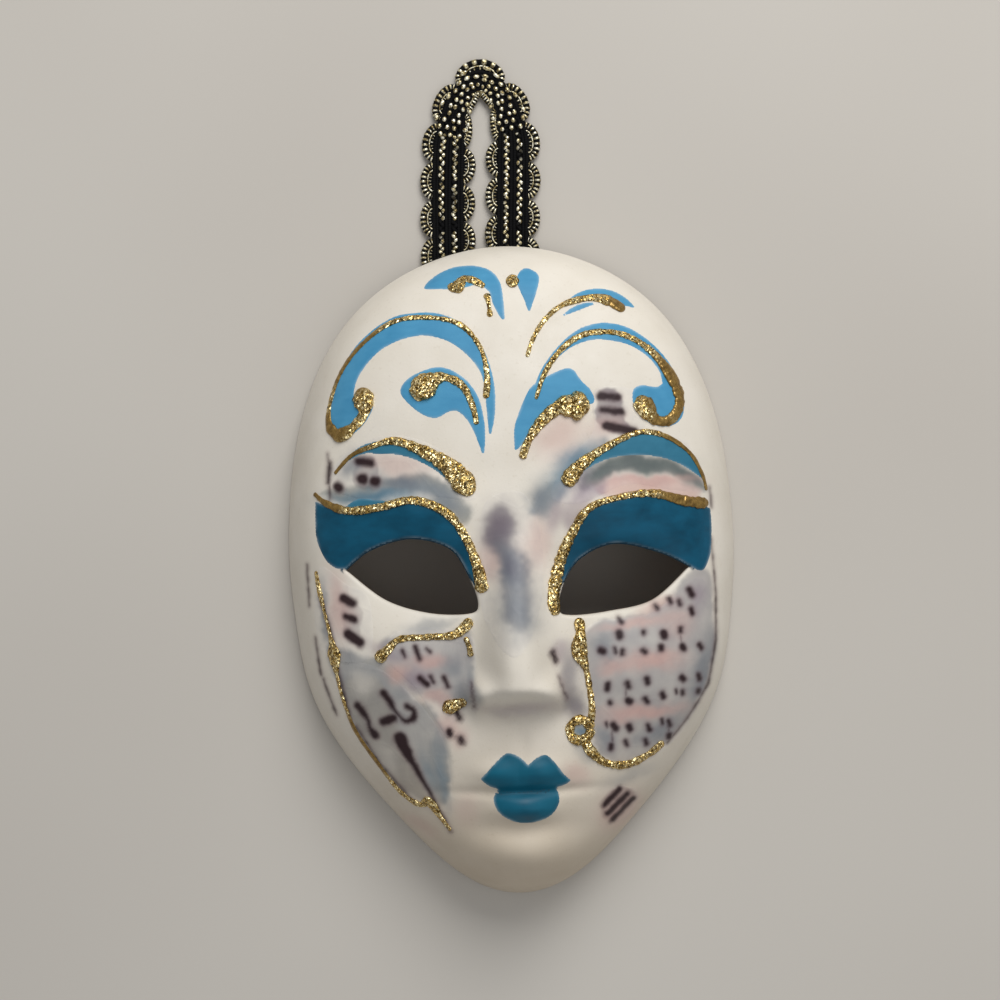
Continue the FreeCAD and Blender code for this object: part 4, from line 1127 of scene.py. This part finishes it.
class Braid:
    """Places points by distance along the ribbon, across it and above it."""

    def __init__(self, route):
        self.run, self.line = resample(route_points(route), BRAID_STEP)
        tangent = np.gradient(self.line, axis=0)
        for _ in range(3):
            tangent[1:-1] = (tangent[:-2] + tangent[1:-1] * 2 + tangent[2:]) / 4
        self.tangent = tangent / np.linalg.norm(tangent, axis=1)[:, None]
        across = np.stack([-self.tangent[:, 1], self.tangent[:, 0], np.zeros(len(tangent))], 1)
        self.across = across / np.linalg.norm(across, axis=1)[:, None]
        self.up = np.cross(self.tangent, self.across)
        self.length = self.run[-1]
        self.vertices, self.faces, self.gold = [], [], []
        self.count = 0

    def y_at(self, run):
        return np.interp(run, self.run, self.line[:, 1])

    def gather(self, run):
        """The share of its full width that the core keeps."""
        top = max(point[1] for point in RIBBON_ROUTE)
        share = smooth_step((self.y_at(run) - GATHER_Y) / (top - GATHER_Y))
        return 1 + (RIBBON_APEX_WIDTH / RIBBON_WIDTH - 1) * share

    def place(self, run, across, up):
        run = np.clip(run, 0, self.length)
        line, side, lift = (np.stack([np.interp(run, self.run, source[:, k]) for k in range(3)], 1)
                            for source in (self.line, self.across, self.up))
        return line + side * np.asarray(across)[:, None] + lift * np.asarray(up)[:, None]

    def add_grid(self, rows, gold, close):
        """Faces between rows of points that all have the same number of points."""
        total, columns = rows.shape[:2]
        for k in range(total - 1):
            for j in range(columns if close else columns - 1):
                a, b = self.count + k * columns + j, self.count + k * columns + (j + 1) % columns
                self.faces.append((a, b, b + columns, a + columns))
        self.faces.append(tuple(self.count + j for j in range(columns))[::-1])
        self.faces.append(tuple(self.count + (total - 1) * columns + j for j in range(columns)))
        self.vertices.append(rows.reshape(-1, 3))
        self.gold.append(np.repeat(np.broadcast_to(gold, (total,)), columns))
        self.count += total * columns

    def add_tube(self, run, across, up, radius, gold, sides=8, flat=1.0):
        """A tube along a line that is given in the ribbon's own run, across and up."""
        run, across, up, radius = (np.broadcast_to(v, (len(run),)) for v in (run, across, up, radius))
        centre = self.place(run, across, up)
        tangent = np.gradient(centre, axis=0)
        tangent /= np.maximum(np.linalg.norm(tangent, axis=1), 1e-9)[:, None]
        lift = np.stack([np.interp(run, self.run, self.up[:, k]) for k in range(3)], 1)
        side = np.cross(lift, tangent)
        side /= np.maximum(np.linalg.norm(side, axis=1), 1e-9)[:, None]
        lift = np.cross(tangent, side)
        angle = np.arange(sides) * 2 * math.pi / sides
        rows = (centre[:, None] + side[:, None] * (radius[:, None] * np.cos(angle))[:, :, None]
                + lift[:, None] * (radius[:, None] * np.sin(angle) * flat)[:, :, None])
        self.add_grid(rows, gold, close=True)

    def add_cord(self, across, radius):
        """A black cord of twisted strands along the whole ribbon."""
        run = np.arange(0, self.length, 0.16)
        twist = 1 + 0.10 * np.sin(run * 2 * math.pi / 0.55 + across)
        self.add_tube(run, across * self.gather(run), 0.1, radius * twist, 0.0, 8, 0.9)

    def add_purl(self, across, phase):
        """A row of flat metal thread that zigzags, catches the light in flecks and dips between stitches."""
        run = np.arange(0, self.length, 0.1)
        along = run + 0.35 * noise(run[:, None], 2.3, 40 + phase)
        sway = 0.34 * np.sin(along * 2 * math.pi / 1.9 + phase) + 0.14 * noise(run[:, None], 0.8, 50 + phase)
        wave = np.sin(along * 2 * math.pi / 0.95 + phase)
        worn = smooth_step(1.15 + 1.4 * noise(run[:, None], 1.2, 60 + phase))
        gold = smooth_step((wave + 0.75) * 1.8) * worn
        y = self.y_at(run)
        front = (y < TURN_Y) & ~((run < self.length / 2) & (y > STITCHED[0]) & (y < STITCHED[1]))
        self.add_tube(run, across * self.gather(run) + sway, 0.40 + 0.08 * wave, 0.42 + 0.04 * wave,
                      gold * front, 7, 0.5)

    def add_scallop(self, middle, side):
        """One scallop: a striped outer cord, a dark filling, a fine bright arc and a row of dots."""
        angle = np.linspace(0.08, math.pi - 0.08, 110)
        apex = float(smooth_step((self.y_at(middle) - GATHER_Y) / GATHER_RUN))
        reach = SCALLOP_REACH * (1 - 0.55 * apex if side < 0 else 1)
        stripe = np.sin(angle * STRIPES + middle)

        def arc(share, up, radius, gold, flat=0.9, sides=8):
            run = middle - SCALLOP_HALF * (0.2 + 0.8 * share) * np.cos(angle)
            edge = (CORE_HALF - 0.3) * self.gather(run)
            self.add_tube(run, side * (edge + share * reach * np.sin(angle)), up, radius, gold, sides, flat)

        arc(1.0, 0.05, SCALLOP_CORD + 0.06 * stripe, smooth_step(stripe * 1.9 - 0.3), sides=9)
        arc(0.66, -0.1, 0.55, 0.0)
        arc(0.56, 0.42, 0.17, 0.9)
        arc(0.34, -0.05, 0.5, smooth_step(np.sin(angle * DOTS) * 3 - 2.1))
        arc(0.1, -0.1, 0.5, 0.0)

    def add_knots(self):
        """Bright knots in rows on the back of the braid, where it turns over at the top."""
        high = self.run[self.line[:, 1] > TURN_Y]
        for row, run in enumerate(np.arange(high[0], high[-1], KNOT_ROW_GAP)):
            for across in np.arange((row % 2 - 4) * KNOT_GAP / 2, 5.1, KNOT_GAP):
                if abs(across) > 3.4 and row % 3 == 0:
                    continue
                span = np.linspace(-1, 1, 7)
                bulge = np.sqrt(np.clip(1 - span ** 2, 0.06, 1))
                shift = 0.3 * math.sin(row * 2.1 + across)
                at = run + 0.62 * span
                self.add_tube(at, across * self.gather(at) + shift, 0.70, 0.54 * bulge, 1.0, 8, 0.6)

    def add_web(self):
        """The flat woven ground that the cords lie on."""
        run = np.arange(0, self.length, BRAID_STEP)
        rows = []
        for k, u in enumerate(np.linspace(-CORE_HALF, CORE_HALF, 19)):
            ribs = 0.06 * np.sin(run * 2 * math.pi / 0.7 + (k % 2) * math.pi)
            rows.insert(k, self.place(run, u * self.gather(run), ribs + 0.1))
            rows.insert(k + 1, self.place(run, u * self.gather(run), ribs - 0.55))
        self.add_grid(np.array(rows).transpose(1, 0, 2), 0.0, close=True)


def build_braid(material):
    braid = Braid(RIBBON_ROUTE)
    braid.add_web()
    for across, radius in CORDS:
        braid.add_cord(across, radius)
    for phase, across in enumerate(PURLS):
        braid.add_purl(across, phase)
    top = braid.run[np.argmax(braid.line[:, 1])]
    for side, first in ((1, top), (-1, top + 0.42 * SCALLOP_PITCH)):
        count = int(top / SCALLOP_PITCH) + 1
        for middle in first + SCALLOP_PITCH * np.arange(-count, count + 1):
            if SCALLOP_HALF < middle < braid.length - SCALLOP_HALF:
                braid.add_scallop(middle, side)
    braid.add_knots()
    piece = make_mesh("hanging_ribbon", np.concatenate(braid.vertices), braid.faces, material)
    set_values(piece, "gold", np.concatenate(braid.gold))
    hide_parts("hanging_loop", "ribbon_end_left", "ribbon_end_right")
    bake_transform(piece)


# ---- glue ----

def build_glue(node, material, seed):
    """A smooth blob of glue that fills its CAD pad."""
    low, high = (np.array(corner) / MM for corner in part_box(node))
    middle, half = (low + high) / 2, (high - low) / 2
    work = bmesh.new()
    bmesh.ops.create_icosphere(work, subdivisions=5, radius=1.0)
    ball = np.array([v.co for v in work.verts])
    faces = [[v.index for v in f.verts] for f in work.faces]
    work.free()
    ball = np.sign(ball) * np.abs(ball) ** 0.8
    ball *= (1 + 0.10 * noise(ball, 0.8, seed) + 0.04 * noise(ball, 0.35, seed))[:, None]
    ball = ball * half * np.array([0.98, 0.62, 0.98])
    lean = math.radians(20)
    turned = ball.copy()
    turned[:, 1] = ball[:, 1] * math.cos(lean) - ball[:, 2] * math.sin(lean)
    turned[:, 2] = ball[:, 1] * math.sin(lean) + ball[:, 2] * math.cos(lean)
    piece = make_mesh(node + "_blob", middle + turned, faces, material)
    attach(piece, "mask")
    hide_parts(node)


# ---- stage ----
CAMERA_PLACE = (-0.00246, 0.01748, 0.450)
CAMERA_TURN = -1.7       # degrees
CAMERA_LENS = 65.3
SENSOR_WIDTH = 36.0
SKY_STRENGTH = 0.36
# Name, place, size in metres and power in watts.
LAMPS = [("window", (0.16, 0.62, 0.62), 0.5, 5.8), ("fill", (0.5, -0.3, 0.9), 0.8, 1.2)]

def build_stage():
    """A plain pale table, soft light from above the forehead, and a camera straight above the mask."""
    bpy.ops.mesh.primitive_plane_add(size=3.0, location=(0, 0, -0.0003))
    floor = bpy.context.object
    look = Look("table", linear(196, 190, 181), 0.9)
    shade = look.ramp(look.noise(0.25, 2), (0.3, linear(190, 184, 175)), (0.7, linear(202, 197, 188)))
    floor.data.materials.append(look.finish(shade))

    world = bpy.data.worlds.new("soft_room")
    bpy.context.scene.world = world
    world.use_nodes = True
    world.node_tree.nodes["Background"].inputs["Color"].default_value = (0.96, 0.97, 1.0, 1)
    world.node_tree.nodes["Background"].inputs["Strength"].default_value = SKY_STRENGTH

    middle = Vector((0, 0.01, 0.02))
    for name, place, size, power in LAMPS:
        light = bpy.data.lights.new(name, "AREA")
        light.size, light.energy = size, power
        lamp = bpy.data.objects.new(name, light)
        lamp.location = place
        lamp.rotation_euler = (middle - Vector(place)).to_track_quat("-Z", "Y").to_euler()
        bpy.context.scene.collection.objects.link(lamp)

    camera = bpy.data.cameras.new("camera")
    camera.sensor_width, camera.lens = SENSOR_WIDTH, CAMERA_LENS
    holder = bpy.data.objects.new("camera", camera)
    holder.location = CAMERA_PLACE
    holder.rotation_euler = (0, 0, math.radians(CAMERA_TURN))
    bpy.context.scene.collection.objects.link(holder)
    bpy.context.scene.camera = holder
    bpy.context.scene.view_settings.view_transform = "Standard"


build_stage()
build_braid(braid_material())
shell = build_shell(bisque_material())
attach(shell, "mask")
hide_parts("mask_shell")
build_tissues(tissue_material())
build_paint()
build_relief(gold_material())
glue = glue_material()
for number, node in enumerate(("glue_pad_left", "glue_pad_right")):
    build_glue(node, glue, number + 3)
